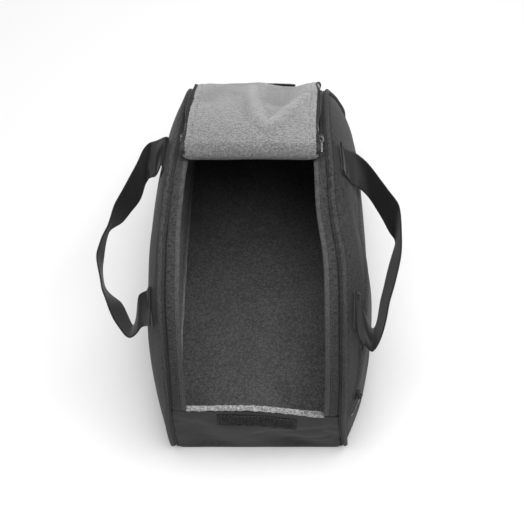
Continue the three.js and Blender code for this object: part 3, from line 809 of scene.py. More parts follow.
def publish(name: str, bm: bmesh.types.BMesh, finish: Finish, slot: str, replaces: Sequence[str] = (),
            wall: Optional[Wall] = None, body: str = BAG, smooth: int = 0) -> bpy.types.Object:
    """Turn a mesh into a piece of the bag.

    Args:
        name: The piece's name.
        bm: Its mesh, which is used up.
        finish: What it is made of.
        slot: Name of a material slot; not used.
        replaces: The frame's nodes that it stands for.
        wall: Thickness of a cloth.
        body: The body that it rides on.
        smooth: Rounds of subdivision where there is no wall.

    Returns:
        The piece.
    """
    mesh = bpy.data.meshes.new(name)
    for face in bm.faces:
        face.smooth = True
    bm.to_mesh(mesh)
    bm.free()
    piece = bpy.data.objects.new(name, mesh)
    bpy.context.scene.collection.objects.link(piece)
    mesh.materials.append(material_of(finish))
    if wall:
        thick = piece.modifiers.new("thickness", "SOLIDIFY")
        thick.thickness = wall.thick * MM
        thick.offset = wall.offset
    rounds = wall.smooth if wall else smooth
    if rounds:
        fine = piece.modifiers.new("rounding", "SUBSURF")
        fine.levels = fine.render_levels = rounds
    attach(piece, body)
    if replaces:
        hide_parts(*replaces)
    LOG.info("%s: %d faces, %s", name, len(mesh.polygons), finish.name.lower())
    return piece


def surface_normal(surface: Surface, u: float, v: float) -> Vector:
    """Direction of a surface away from the middle of the bag.

    Args:
        surface: The surface, in millimetres.
        u: Share of its width.
        v: Share of its length.

    Returns:
        The outward direction.
    """
    small = 0.004
    du = surface(u + small, v) - surface(u - small, v)
    dv = surface(u, v + small) - surface(u, v - small)
    out = du.cross(dv).normalized()
    return out if out.dot(surface(u, v) - Vector(HEART) / MM) > 0 else -out


@dataclass
class Needle:
    """Sews rows of small stitches, or sets rows of zip teeth, into one mesh."""

    long: float = 3.0
    radius: float = 0.55
    pitch: float = 4.4
    proud: float = 0.35  # share of the radius by which a stitch stands higher than its row
    samples: int = 240
    spots: list[Matrix] = field(default_factory=list)

    def sew(self, route: Route, sideways: float = 0.0, crosswise: bool = False, shift: float = 0.0) -> None:
        """Set a row along a route.

        Args:
            route: Point in millimetres and outward direction at a share of the way.
            sideways: How far the row lies beside the route.
            crosswise: Whether each stitch lies across the route.
            shift: Share of a pitch by which the row is moved on.
        """
        spots = [route(i / self.samples) for i in range(self.samples + 1)]
        walked, marks = 0.0, [0.0]
        for (a, _), (b, _) in zip(spots, spots[1:]):
            walked += (b - a).length
            marks.append(walked)
        k = 0
        for i in range(int(walked / self.pitch)):
            at = (i + 0.5 + shift) * self.pitch
            while k < self.samples - 1 and marks[k + 1] < at:
                k += 1
            (a, out), (b, _) = spots[k], spots[k + 1]
            share = (at - marks[k]) / max(marks[k + 1] - marks[k], 1e-9)
            ahead = (b - a).normalized()
            across = out.cross(ahead).normalized()
            up = ahead.cross(across)
            point = a.lerp(b, share) + across * sideways + up * (self.radius * self.proud)
            x, y = (across, -ahead) if crosswise else (ahead, across)
            turn = Matrix((x, y, up)).transposed().to_4x4()
            size = Matrix.Diagonal((self.long / 2, self.radius, self.radius, 1))
            self.spots.append(Matrix.Translation(point * MM) @ turn @ size @ Matrix.Diagonal((MM, MM, MM, 1)))

    def mesh(self) -> bmesh.types.BMesh:
        """Set one small bead at every spot.

        Returns:
            All the stitches, in metres.
        """
        bm = bmesh.new()
        for spot in self.spots:
            bmesh.ops.create_icosphere(bm, subdivisions=1, radius=1.0, matrix=spot)
        return bm


@dataclass(frozen=True)
class Cloth:
    """A cut cloth: its smooth surface, its flat size in metres and its unevenness."""

    surface: Surface
    flat: Flat
    relief: Relief = Relief()

    def outer(self, u: float, v: float, lift: float = 0.0) -> tuple[Vector, Vector]:
        """Place on the uneven cloth.

        Args:
            u: Share of its width.
            v: Share of its length.
            lift: Height over the cloth in millimetres.

        Returns:
            The point and the outward direction.
        """
        out = surface_normal(self.surface, u, v)
        return self.surface(u, v) + out * (lift + self.relief.height(u, v, self.flat)), out

    def row(self, start: tuple[float, float], end: tuple[float, float], lift: float = 0.3) -> Route:
        """Straight row between two places.

        Args:
            start: Shares of the width and the length where it begins.
            end: And where it ends.
            lift: Height over the cloth in millimetres.

        Returns:
            The row's route.
        """
        def route(t: float) -> tuple[Vector, Vector]:
            """Point and outward direction at a share of the way."""
            return self.outer(mix(start[0], end[0], t), mix(start[1], end[1], t), lift)

        return route

    def frame_rows(self, inset_u: float, inset_v: float, lift: float = 0.2) -> list[Route]:
        """Four rows just inside the cloth's edges.

        Args:
            inset_u: Share of the width that the rows keep off the long edges.
            inset_v: Share of the length that they keep off the short ones.
            lift: Height over the cloth in millimetres.

        Returns:
            The routes of the rows.
        """
        a, b, c, d = inset_u, 1 - inset_u, inset_v, 1 - inset_v
        corners = ((a, c), (b, c), (b, d), (a, d), (a, c))
        return [self.row(start, end, lift) for start, end in zip(corners, corners[1:])]

    def grid(self, columns: int, rows: int, middle: Sequence[float] = HEART,
             crowd: float = 0.0) -> bmesh.types.BMesh:
        """Mesh of the cloth's outer face."""
        return to_grid(self.surface, columns, rows, self.flat, self.relief, middle, crowd)


@dataclass
class SidePanel:
    """One bulging side: padded cloth, its fleece lining and the piped seam round it."""

    side: Side
    cloth: float = 2.0
    inset: float = 0.5
    fleece: float = 4.0
    fleece_depth: float = 4.4
    fleece_inset: float = 5.0
    fleece_along: tuple[float, float] = (0.012, 0.988)
    fleece_up: tuple[float, float] = (0.012, 0.975)
    piping: float = 3.2
    piping_ends: tuple[float, float] = (0.2, 179.8)
    tip: float = 0.15  # share of the piping's thickness that is left at its ends
    tip_height: float = 20.0
    tip_drawn: float = 4.0
    flange_depth: float = 3.4
    piping_flat: Flat = (0.019, 1.02)
    stations: int = 220
    flat: Flat = (0.478, 0.318)
    area: float = 0.131
    fleece_share: float = 0.96

    def surface(self, along: float, up: float) -> Vector:
        """Point of the outer cloth."""
        return FORM.side(self.side, along, up, self.inset)

    def relief(self) -> Relief:
        """Swells of the padding, sewn-in edges and the pulls below the handle ends.

        Returns:
            The cloth's unevenness.
        """
        left = (
            Crease(((0.30, 0.86), (0.24, 0.74)), 1.6, 6.0),
            Crease(((0.53, 0.87), (0.49, 0.76)), 1.4, 7.0),
            Crease(((0.40, 0.70), (0.62, 0.62)), 1.6, 16.0),
        )
        right = (
            Crease(((0.515, 0.875), (0.475, 0.81)), 2.2, 3.5),
            Crease(((0.27, 0.89), (0.225, 0.80)), 2.0, 4.0),
            Crease(((0.33, 0.88), (0.30, 0.78)), 1.4, 5.0),
            Crease(((0.20, 0.62), (0.62, 0.56)), 2.0, 20.0),
            Crease(((0.06, 0.72), (0.10, 0.50)), 1.8, 9.0),
        )
        return Relief(swell=2.4, swell_size=95, ripple=0.5, ripple_size=24, edge_dip=3.6, edge_width=2.4,
                      edge_cover=PIPING_COVER, edges="lrt", calm_foot=40,
                      creases=left if self.side is Side.LEFT else right, seed=3.0 + self.side.value)

    def cloth_cut(self) -> Cloth:
        """The outer cloth as it lies."""
        return Cloth(self.surface, self.flat, self.relief())

    def build(self) -> None:
        """Build the cloth, the lining and the piping."""
        word = self.side.word
        bm = self.cloth_cut().grid(82, 52, crowd=0.6)
        panel = publish(f"side_{word}", bm, Finish.NYLON, "nylon", [f"side_panel_{word}"], Wall(self.cloth))
        self.build_lining()
        self.build_piping()

    def build_lining(self) -> None:
        """Build the fleece behind the cloth."""
        word = self.side.word
        behind = Vector((self.side.value * -self.fleece_depth, 0, 0))

        def inner(u: float, v: float) -> Vector:
            """Point of the fleece's outer face."""
            along, up = mix(*self.fleece_along, u), mix(*self.fleece_up, v)
            return FORM.side(self.side, along, up, self.fleece_inset) + behind

        relief = Relief(swell=3.0, swell_size=70, pile=0.35, pile_size=5.0, edge_dip=1.5, edge_width=8,
                        edges="lrtb", seed=9.0 + self.side.value)
        lining = publish(f"lining_{word}", to_grid(inner, 84, 54, self.flat, relief), Finish.LINING, "fleece",
                         [f"lining_side_{word}"], Wall(self.fleece, smooth=0))

    def build_piping(self) -> None:
        """Build the piped seam and its hidden sewn edge."""
        word = self.side.word
        ring = oval(self.piping, self.piping)
        bm = to_sleeve(self.piping_station, ring, 10, self.stations, self.piping_flat)
        publish(f"piping_seam_{word}", bm, Finish.PIPING, "nylon", [f"piping_{word}"], smooth=1)
        bm = to_sleeve(self.flange_station, ring, 8, self.stations, self.piping_flat)
        publish(f"piping_flange_{word}", bm, Finish.INNER, "nylon", smooth=1)

    def piping_angle(self, t: float) -> float:
        """Degrees round the arch at a share of the stations, which stand closer together up the ends."""
        return mix(*self.piping_ends, t - 0.12 * math.sin(FULL_TURN * t))

    def piping_station(self, t: float) -> Station:
        """Station of the piped seam, drawn in and thinner at its two ends.

        Args:
            t: Share of the stations.

        Returns:
            The point and the two cross directions.
        """
        angle = self.piping_angle(t)
        ahead = FORM.seam(self.side, min(angle + 0.5, 180)) - FORM.seam(self.side, max(angle - 0.5, 0))
        out = Vector((1, 0, 0)) - ahead * (ahead.x / max(ahead.length_squared, 1e-9))
        out.normalize()
        spot = FORM.seam(self.side, angle)
        taper = mix(self.tip, 1.0, smoothstep(spot.z, 0.0, self.tip_height))
        spot -= Vector((self.side.value, math.copysign(1.0, spot.y), 0)) * (self.tip_drawn * (1 - taper))
        return spot, out * taper, ahead.normalized().cross(out) * taper

    def flange_station(self, t: float) -> Station:
        """Station of the piping's sewn edge, turned in behind the two cloths.

        Args:
            t: Share of the stations.

        Returns:
            The point and the two cross directions.
        """
        spot, out, turned = self.piping_station(t)
        outward = FORM.arch_normal(self.piping_angle(t)) + Vector((self.side.value, 0, 0))
        return spot - outward * self.flange_depth, out, turned


@dataclass
class FrontWall:
    """The low front below the mouth, its fleece lip and the loop tape."""

    thread: Needle
    cloth: float = 2.0
    room: float = 0.5
    flat: Flat = (0.232, 0.15)
    fleece: float = 4.6
    fleece_inset: float = 12.0
    fleece_flat: Flat = (0.214, 0.152)
    lip_rise: float = 0.75  # degrees by which the fleece stands up past the cloth
    lip_half: float = 87.0
    tape: float = 1.8
    tape_reach: tuple[float, float] = (-48.0, 52.0)
    tape_drop: tuple[float, float] = (7.6, 1.6)  # degrees below the lip of its lower and upper edge
    tape_flat: Flat = (0.1, 0.034)

    def surface(self, u: float, v: float) -> Vector:
        """Point of the outer cloth.

        Args:
            u: Share of its width.
            v: Share of its height.

        Returns:
            The point in millimetres.
        """
        across = 2 * u - 1
        angle = FORM.lip.value(across) * max(v, 0.0) ** FORM.upright_spread
        return FORM.band(angle, across * (FORM.seam_half(angle) - self.room))

    def cloth_cut(self) -> Cloth:
        """The outer cloth, with dents where it gives way empty.

        Returns:
            The cloth as it lies.
        """
        dents = (
            Crease(((0.14, 0.55), (0.24, 0.12)), 5.0, 26.0),
            Crease(((0.62, 0.34), (0.74, 0.12)), 4.5, 24.0),
            Crease(((0.50, 0.44), (0.92, 0.72)), 1.6, 9.0),
            Crease(((0.66, 0.22), (0.90, 0.40)), 1.5, 7.0),
            Crease(((0.88, 0.62), (0.97, 0.30)), 2.0, 9.0),
            Crease(((0.05, 0.80), (0.20, 0.60)), 1.5, 10.0),
        )
        relief = Relief(swell=2.4, swell_size=70, ripple=0.5, ripple_size=20, edge_dip=3.2, edge_width=2.0,
                        edge_cover=PIPING_COVER, edges="lr", calm_foot=26, creases=dents, seed=21.0)
        return Cloth(self.surface, self.flat, relief)

    def build(self) -> None:
        """Build the cloth, the fleece lip and the loop tape."""
        bm = self.cloth_cut().grid(66, 38, crowd=0.5)
        panel = publish("front", bm, Finish.NYLON, "nylon", ["front_panel"], Wall(self.cloth))
        self.build_lip()
        self.build_lip_edge()
        self.build_loop_tape()

    def build_lip(self) -> None:
        """Build the fleece behind the cloth, which stands up past its edge."""
        def inner(u: float, v: float) -> Vector:
            """Point of the fleece's outer face.

            Args:
                u: Share of its width.
                v: Share of its height.

            Returns:
                The point in millimetres.
            """
            across = 2 * u - 1
            rag = 0.25 * noise.noise(Vector((u * 42, 3.3, 0))) + 0.15 * noise.noise(Vector((u * 90, 8.3, 0)))
            rise = self.lip_rise + rag - 2.4 * smoothstep(abs(across), 0.84, 0.93)
            angle = (FORM.lip.value(across) + rise) * mix(0.03, 1.0, v) ** FORM.upright_spread
            behind = mix(9.0, 3.0, smoothstep(v, 0.72, 0.93)) - 2.0 * smoothstep(v, 0.93, 1.0)
            return FORM.band(angle, across * (FORM.seam_half(angle) - self.fleece_inset), -behind)

        relief = Relief(swell=1.6, swell_size=60, pile=0.5, pile_size=3.4, seed=31.0)
        lining = publish("lining_lip", to_grid(inner, 110, 60, self.fleece_flat, relief), Finish.FLEECE, "fleece",
                         ["lining_front"], Wall(self.fleece, smooth=0))

    def build_lip_edge(self) -> None:
        """Build the fleece's folded upper edge, whose pile stands in uneven tufts."""
        def route(t: float) -> Station:
            """Station of the edge.

            Args:
                t: Share of the way from left to right.

            Returns:
                The point and the two cross directions.
            """
            across = mix(-1, 1, t)
            angle = FORM.lip.value(across) + self.lip_rise
            out = FORM.arch_normal(angle)
            return FORM.band(angle, across * self.lip_half, -3.0), out, Vector((0, out.z, -out.y))

        bm = to_sleeve(route, oval(3.6, 2.8), 14, 170, (0.02, 0.2))
        bm.normal_update()
        for vert in bm.verts:
            place = vert.co / MM
            tuft = 1.5 * noise.noise(place / 4.6) + 0.6 * noise.noise(place / 2.2)
            vert.co += vert.normal * (tuft * MM)
        publish("lip_edge", bm, Finish.LIP, "fleece", smooth=1)

    def build_loop_tape(self) -> None:
        """Build the loop tape and sew it on."""
        front = self.cloth_cut()

        def tape(u: float, v: float) -> Vector:
            """Point of the tape's outer face.

            Args:
                u: Share of its length.
                v: Share of its width.

            Returns:
                The point in millimetres.
            """
            x = mix(*self.tape_reach, u)
            lip = FORM.lip.value(x / FORM.seam_half(20))
            angle = lip - mix(*self.tape_drop, v) - 0.7 * smoothstep(u, 0.4, 1.0)
            across = x / (FORM.seam_half(angle) - self.room)
            return front.outer((across + 1) / 2, (angle / lip) ** (1 / FORM.upright_spread), self.tape)[0]

        relief = Relief(pile=1.1, pile_size=3.0, ripple=0.7, ripple_size=12, edge_dip=1.0, edge_width=2.0,
                        edges="lrtb", seed=41.0)
        cut = Cloth(tape, self.tape_flat, relief)
        strip = publish("loop_tape", cut.grid(90, 32), Finish.LOOP, "tape", ["loop_strip"],
                        Wall(self.tape, smooth=0))
        for row in cut.frame_rows(0.02, 0.05, -0.25):
            self.thread.sew(row)


@dataclass
class MouthEdge:
    """One strip beside the mouth with the tape that binds its inner edge."""

    side: Side
    thread: Needle
    cloth: float = 2.0
    binding_width: float = 6.5
    binding_thick: float = 3.4
    binding_overlap: float = 1.5
    binding_drop: float = 1.0
    binding_flat: Flat = (0.019, 0.34)
    under_angle: float = 1.4  # how far the strip's front end goes under the front wall's edge
    under_depth: float = 2.2
    room: float = 0.5
    flat: Flat = (0.0174, 0.36)

    def angle(self, v: float, x: float) -> float:
        """Arch angle at a share of the way from the lip to the fold."""
        lip = FORM.lip.value(self.side.value * x / FORM.seam_half(30)) + 0.4
        return mix(lip, FORM.fold_angle - 0.3, v)

    def strip(self, u: float, v: float) -> Vector:
        """Point of the strip, from the binding out to the piping.

        Args:
            u: Share of its width.
            v: Share of the way from the lip to the fold.

        Returns:
            The point in millimetres.
        """
        under = 1 - smoothstep(v, 0.0, 0.022)
        angle = self.angle(v, 95) - self.under_angle * under
        inner = FORM.mouth.value(angle) + self.binding_width - self.binding_overlap
        outer = FORM.seam_half(angle) - self.room
        return FORM.band(angle, self.side.value * mix(inner, outer, u), -self.under_depth * under)

    def build(self) -> None:
        """Build the strip and the binding, and sew them together."""
        word = self.side.word
        relief = Relief(swell=1.0, swell_size=50, ripple=0.35, ripple_size=18, edge_dip=3.4, edge_width=1.8,
                        edge_cover=PIPING_COVER, edges="r", seed=51.0 + self.side.value)
        cut = Cloth(self.strip, self.flat, relief)
        strip = publish(f"strip_{word}", cut.grid(11, 100, crowd=0.4), Finish.NYLON, "nylon",
                        [f"edge_strip_{word}"], Wall(self.cloth))
        self.build_binding()
        self.thread.sew(cut.row((0.14, 0.01), (0.14, 0.99), 0.3))

    def build_binding(self) -> None:
        """Build the tape folded over the strip's inner edge."""
        half, thick = self.binding_width / 2, self.binding_thick / 2

        def route(t: float) -> Station:
            """Station of the binding's middle line.

            Args:
                t: Share of the way from the lip to the fold.

            Returns:
                The point and the two cross directions.
            """
            angle = self.angle(t, 85)
            x = self.side.value * (FORM.mouth.value(angle) + half)
            return FORM.band(angle, x, -self.binding_drop), Vector((1, 0, 0)), FORM.arch_normal(angle)

        def section(u: float) -> tuple[float, float]:
            """Offsets round a flattened section with full corners.

            Args:
                u: Share of the way round.

            Returns:
                The offsets across and outwards.
            """
            turn = FULL_TURN * u
            wide = math.copysign(abs(math.cos(turn)) ** 0.6, math.cos(turn))
            high = math.copysign(abs(math.sin(turn)) ** 0.7, math.sin(turn))
            return half * wide, thick * high

        word = self.side.word
        bm = to_sleeve(route, section, 18, 120, self.binding_flat)
        publish(f"binding_{word}", bm, Finish.BINDING, "binding", [f"edge_binding_{word}"], smooth=1)


@dataclass
class BackWall:
    """The back and the closed rear top, with its gussets, lining and two closed zips."""

    thread: Needle
    teeth: Needle
    zip_offset: float = 84.0
    zip_half: float = 2.8
    zip_gap: float = 0.3
    tape: float = 1.2
    tape_half: float = 6.0
    tape_depth: float = 1.4
    tape_flat: Flat = (0.012, 0.45)
    cloth: float = 2.0
    flat: Flat = (0.162, 0.45)
    end: float = 180.0
    fleece: float = 4.0
    fleece_inset: float = 9.0
    fleece_depth: float = 10.0
    fleece_start: float = 1.5  # degrees past the fold
    fleece_end: float = 179.9
    fleece_flat: Flat = (0.2, 0.45)
    gusset_start: float = 138.0
    gusset_room: float = 0.5
    gusset_flat: Flat = (0.026, 0.24)

    def panel(self, u: float, v: float) -> Vector:
        """Point of the back panel."""
        half = self.zip_offset - self.zip_half - self.zip_gap
        return FORM.band(mix(FORM.fold_angle, self.end, v), mix(-half, half, u))

    def build(self) -> None:
        """Build the panel, its lining, the gussets and the zips."""
        folds = (
            Crease(((0.2, 0.55), (0.75, 0.62)), 2.2, 14.0),
            Crease(((0.3, 0.8), (0.8, 0.74)), 2.0, 12.0),
            Crease(((0.69, 0.16), (0.73, 0.62)), 9.5, 24.0),
        )
        relief = Relief(swell=2.2, swell_size=80, ripple=0.5, ripple_size=24, edge_dip=0.8, edge_width=4,
                        edges="lr", creases=folds, seed=61.0)
        cut = Cloth(self.panel, self.flat, relief)
        back = publish("back", cut.grid(34, 96), Finish.NYLON, "nylon", ["back_panel"], Wall(self.cloth))
        self.build_lining()
        for side in Side:
            self.build_zip(side)
            self.build_gusset(side)
            edge = 0.03 if side is Side.LEFT else 0.97
            self.thread.sew(cut.row((edge, 0.02), (edge, 0.98), 0.2))

    def build_lining(self) -> None:
        """Build the fleece behind the back and below the rear top."""
        def inner(u: float, v: float) -> Vector:
            """Point of the fleece's outer face.

            Args:
                u: Share of its width.
                v: Share of its length.

            Returns:
                The point in millimetres.
            """
            angle = mix(FORM.fold_angle + self.fleece_start, self.fleece_end, v)
            half = FORM.seam_half(mix(FORM.fold_angle, 180, v)) - self.fleece_inset
            return FORM.band(angle, mix(-1, 1, u) * half, -self.fleece_depth)

        relief = Relief(swell=2.0, swell_size=70, pile=0.35, pile_size=5, seed=66.0)
        lining = publish("lining_rear", to_grid(inner, 56, 110, self.fleece_flat, relief), Finish.LINING, "fleece",
                         ["lining_back"], Wall(self.fleece, smooth=0))

    def build_zip(self, side: Side) -> None:
        """Build one closed zip: its tape below the cloth's edges and its coil.

        Args:
            side: Which zip.
        """
        def tape(u: float, v: float) -> Vector:
            """Point of the tape's outer face."""
            x = side.value * (self.zip_offset + mix(-1, 1, u) * self.tape_half)
            return FORM.band(mix(FORM.fold_angle, self.end, v), x, -self.tape_depth)

        cut = Cloth(tape, self.tape_flat)
        zip_tape = publish(f"zip_tape_{side.word}", cut.grid(8, 120), Finish.ZIP_TAPE, "tape",
                           [f"main_zip_{side.word}"], Wall(self.tape))
        row = cut.row((0.5, 0.03), (0.5, 0.995), 0.9)
        for sideways, shift in ((-0.75, 0.0), (0.75, 0.5)):
            self.teeth.sew(row, sideways, crosswise=True, shift=shift)

    def build_gusset(self, side: Side) -> None:
        """Build the cloth between a zip and the piping at the rear corner.

        Args:
            side: Which gusset.
        """
        def cloth(u: float, v: float) -> Vector:
            """Point of the gusset.

            Args:
                u: Share of its width.
                v: Share of its length.

            Returns:
                The point in millimetres.
            """
            angle = mix(self.gusset_start, self.end, v)
            inner = self.zip_offset + self.zip_half + self.zip_gap
            return FORM.band(angle, side.value * mix(inner, FORM.seam_half(angle) - self.gusset_room, u))

        relief = Relief(swell=1.2, swell_size=50, ripple=0.4, edge_dip=3.0, edge_width=2.0,
                        edge_cover=PIPING_COVER, edges="r", seed=71.0 + side.value)
        gusset = publish(f"gusset_{side.word}", to_grid(cloth, 14, 60, self.gusset_flat, relief), Finish.NYLON,
                         "nylon", [f"back_gusset_{side.word}"], Wall(self.cloth))


@dataclass
class Flap:
    """The tongue that closes the mouth, folded back so that its fleece face is on top."""

    thread: Needle
    teeth: Needle
    root_angle: float = 96.3
    root_gap: float = 0.35
    end_angle: float = 155.0
    curl: float = 10.0
    curl_share: float = 0.2
    root_half: float = 70.5
    half: float = 79.5
    end_rounding: float = 16.0
    shell: float = 1.6
    fleece: float = 3.4
    lifts: Table = Table(((96.3, 20), (106, 13), (118, 5.5), (135, 3), (155, 3.5)))  # degrees, height
    flat: Flat = (0.165, 0.31)
    tape: float = 1.2
    tape_lift: float = 2.6
    tape_inner: float = -6.0
    tape_reach: float = 4.6
    tape_flat: Flat = (0.0106, 0.28)
    slider_place: float = 0.27  # where the tape draws in, clear of the pull's swing
    slider_spread: float = 0.06
    slider_room: float = 4.3
    flip_place: float = 0.6  # where the tape's free edge turns over
    flip_spread: float = 0.075
    flip_left: float = 3.0
    flip_right: float = 7.0
    hook: float = 1.6
    hook_across: tuple[float, float] = (0.19, 0.81)
    hook_along: tuple[float, float] = (0.88, 0.96)
    hook_flat: Flat = (0.102, 0.03)

    def half_width(self, along: float) -> float:
        """Half the flap's width.

        Args:
            along: Share of its length.

        Returns:
            The half-width in millimetres.
        """
        emerged = smoothstep(along, self.curl_share * 0.2, self.curl_share * 0.45)
        rounding = self.end_rounding * smoothstep(along, 0.88, 1.04)
        return mix(self.root_half, self.half, emerged) - rounding

    def surface(self, u: float, v: float) -> Vector:
        """Point of the shell's lower face, from the root over the fold to the free end.

        Args:
            u: Share of its width.
            v: Share of its length.

        Returns:
            The point in millimetres.
        """
        x = (2 * u - 1) * self.half_width(v)
        if v < self.curl_share:
            turn = math.pi * v / self.curl_share
            out = FORM.arch_normal(self.root_angle)
            ahead = Vector((0, -out.z, out.y))
            risen = FORM.band(self.root_angle, x, self.curl * (1 - math.cos(turn)))
            return risen + ahead * (self.curl * math.sin(turn) + self.root_gap)
        part = (v - self.curl_share) / (1 - self.curl_share)
        angle = mix(self.root_angle, self.end_angle, part)
        return FORM.band(angle, x, self.lifts.value(angle))

    def creases(self) -> tuple[Crease, ...]:
        """The folds that the flap lies in, and the sewn lines along its long edges.

        Returns:
            The folds.
        """
        return (
            Crease(((0.68, 0.44), (0.72, 0.78)), 9.0, 19.0),
            Crease(((0.47, 0.55), (0.50, 0.40), (0.55, 0.30), (0.62, 0.26), (0.70, 0.29), (0.90, 0.47)), -5.6, 6.8),
            Crease(((0.36, 0.50), (0.46, 0.30)), 2.6, 9.0),
            Crease(((0.14, 0.46), (0.32, 0.72)), 5.0, 19.0),
            Crease(((0.97, 0.54), (0.97, 0.66)), -5.0, 14.0),
            Crease(((0.02, 0.50), (0.04, 0.66)), -2.0, 20.0),
            Crease(((0.058, 0.10), (0.058, 0.96)), 1.3, 2.2),
            Crease(((0.942, 0.10), (0.942, 0.96)), 1.3, 2.2),
        )

    def build(self) -> None:
        """Build the shell, the fleece, the hook tape and the tapes along the edges."""
        folds = Relief(swell=1.6, swell_size=60, creases=self.creases(), seed=81.0)
        bm = to_grid(self.surface, 56, 110, self.flat, folds, FLAP_HEART)
        shell = publish("flap_cloth", bm, Finish.INNER, "nylon", ["flap_shell"], Wall(self.shell, smooth=0))
        # the fleece's finish paints these folds lighter where raised and darker in the hollows: painted light and
        # shade
        nap = Relief(swell=1.6, swell_size=60, creases=self.creases(), pile=0.45, pile_size=3.2, edge_dip=2.2,
                     edge_width=2.4, edges="lrt", seed=81.0)
        bm = to_grid(self.surface, 120, 200, self.flat, nap, FLAP_HEART)
        fleece = publish("flap_fleece_face", bm, Finish.FLEECE, "fleece", ["flap_fleece"],
                         Wall(self.fleece, offset=1.0, smooth=0))
        self.build_hook_tape()
        for side in Side:
            self.build_edge_tape(side, folds)

    def build_edge_tape(self, side: Side, folds: Relief) -> None:
        """Build the zip tape along a long edge of the flap.

        Args:
            side: Which edge.
            folds: The flap's own folds.
        """
        edge, curl = (0.0, self.flip_left) if side is Side.LEFT else (1.0, self.flip_right)

        def tape(u: float, v: float) -> Vector:
            """Point of the tape, from below the fleece to its free edge.

            Args:
                u: Share of its width.
                v: Share of its length.

            Returns:
                The point in millimetres.
            """
            along = mix(0.1, 0.97, v)
            out = surface_normal(self.surface, edge, along)
            over = self.surface(edge, along) + out * (self.tape_lift + folds.height(edge, along, self.flat))
            flip = math.exp(-(((along - self.flip_place) / self.flip_spread) ** 2)) * smoothstep(u, 0.25, 1.0)
            over += out * (0.4 * curl * flip)
            beside = math.exp(-(((along - self.slider_place) / self.slider_spread) ** 2))
            reach = self.tape_reach - self.slider_room * beside
            return over + Vector((side.value * (mix(self.tape_inner, reach, u) - curl * flip), 0, 0))

        cut = Cloth(tape, self.tape_flat)
        strip = publish(f"flap_tape_{side.word}", cut.grid(8, 90, FLAP_HEART), Finish.ZIP_TAPE, "tape",
                        wall=Wall(self.tape))
        self.teeth.sew(cut.row((0.93, 0.02), (0.93, 0.98), 0.2), crosswise=True)
        self.thread.sew(cut.row((0.72, 0.02), (0.72, 0.98), 0.1))

    def build_hook_tape(self) -> None:
        """Build the hook tape near the free end and sew it on."""
        over = self.shell + self.fleece + self.hook

        def below(u: float, v: float) -> Vector:
            """Point of the flap below the tape."""
            return self.surface(mix(*self.hook_across, u), mix(*self.hook_along, v))

        def raised(u: float, v: float) -> Vector:
            """Point of the tape's outer face."""
            return below(u, v) + surface_normal(below, u, v) * over

        cut = Cloth(raised, self.hook_flat, Relief(pile=0.4, pile_size=2.0))
        strip = publish("hook_tape", cut.grid(70, 20), Finish.HOOK, "tape", ["hook_strip"],
                        Wall(self.hook, smooth=0))
        for row in cut.frame_rows(0.03, 0.08):
            self.thread.sew(row)


@dataclass
class Base:
    """The floor of the bag and its fleece."""

    cloth: float = 2.5
    cloth_inset: float = 10.0
    flat: Flat = (0.25, 0.478)
    fleece: float = 4.0
    fleece_inset: float = 3.5
    fleece_level: float = 9.0
    fleece_flat: Flat = (0.24, 0.47)

    def floor(self, inset: float, level: float) -> Surface:
        """Level sheet inside the bag's foot.

        Args:
            inset: How far it stops from the walls.
            level: Height of its upper face.

        Returns:
            The sheet's surface.
        """
        def surface(u: float, v: float) -> Vector:
            """Point of the sheet.

            Args:
                u: Share of its width.
                v: Share of its length.

            Returns:
                The point in millimetres.
            """
            half = FORM.seam_half(0) - inset + FORM.base_swell * 4 * v * (1 - v)
            y = mix(-FORM.front_reach + inset, FORM.back_reach - inset, v)
            return Vector((mix(-half, half, u), y, level))

        return surface

    def build(self) -> None:
        """Build the cloth and the fleece."""
        bm = to_grid(self.floor(self.cloth_inset, self.cloth), 40, 76, self.flat, middle=BELOW)
        cloth = publish("base", bm, Finish.NYLON, "nylon", ["base_panel"], Wall(self.cloth, smooth=0))
        relief = Relief(swell=2.0, swell_size=80, pile=0.35, pile_size=5.0, edge_dip=1.0, edge_width=10,
                        edges="lrtb", seed=91.0)
        bm = to_grid(self.floor(self.fleece_inset, self.fleece_level), 70, 130, self.fleece_flat, relief, BELOW)
        fleece = publish("lining_floor", bm, Finish.LINING, "fleece", ["lining_base"], Wall(self.fleece, smooth=0))


class Strand:
    """Smooth line through points, spaced so that it doesn't overshoot at close ones."""

    def __init__(self, points: Sequence[Vector]) -> None:
        """Keep the points with one more past each end."""
        self.points = [points[0] * 2 - points[1], *points, points[-1] * 2 - points[-2]]

    def at(self, t: float) -> Vector:
        """Point at a share of the way, counted by the points.

        Args:
            t: Share from 0 to 1.

        Returns:
            The point.
        """
        spans = len(self.points) - 3
        place = min(max(t, 0.0), 1.0) * spans
        i = min(int(place), spans - 1)
        p = self.points[i:i + 4]
        knots = [0.0]
        for a, b in zip(p, p[1:]):
            knots.append(knots[-1] + max((b - a).length ** 0.5, 1e-4))
        x = mix(knots[1], knots[2], place - i)
        while len(p) > 1:
            order = 5 - len(p)
            p = [a.lerp(b, (x - knots[k]) / (knots[k + order] - knots[k])) for k, (a, b) in enumerate(zip(p, p[1:]))]
        return p[0]


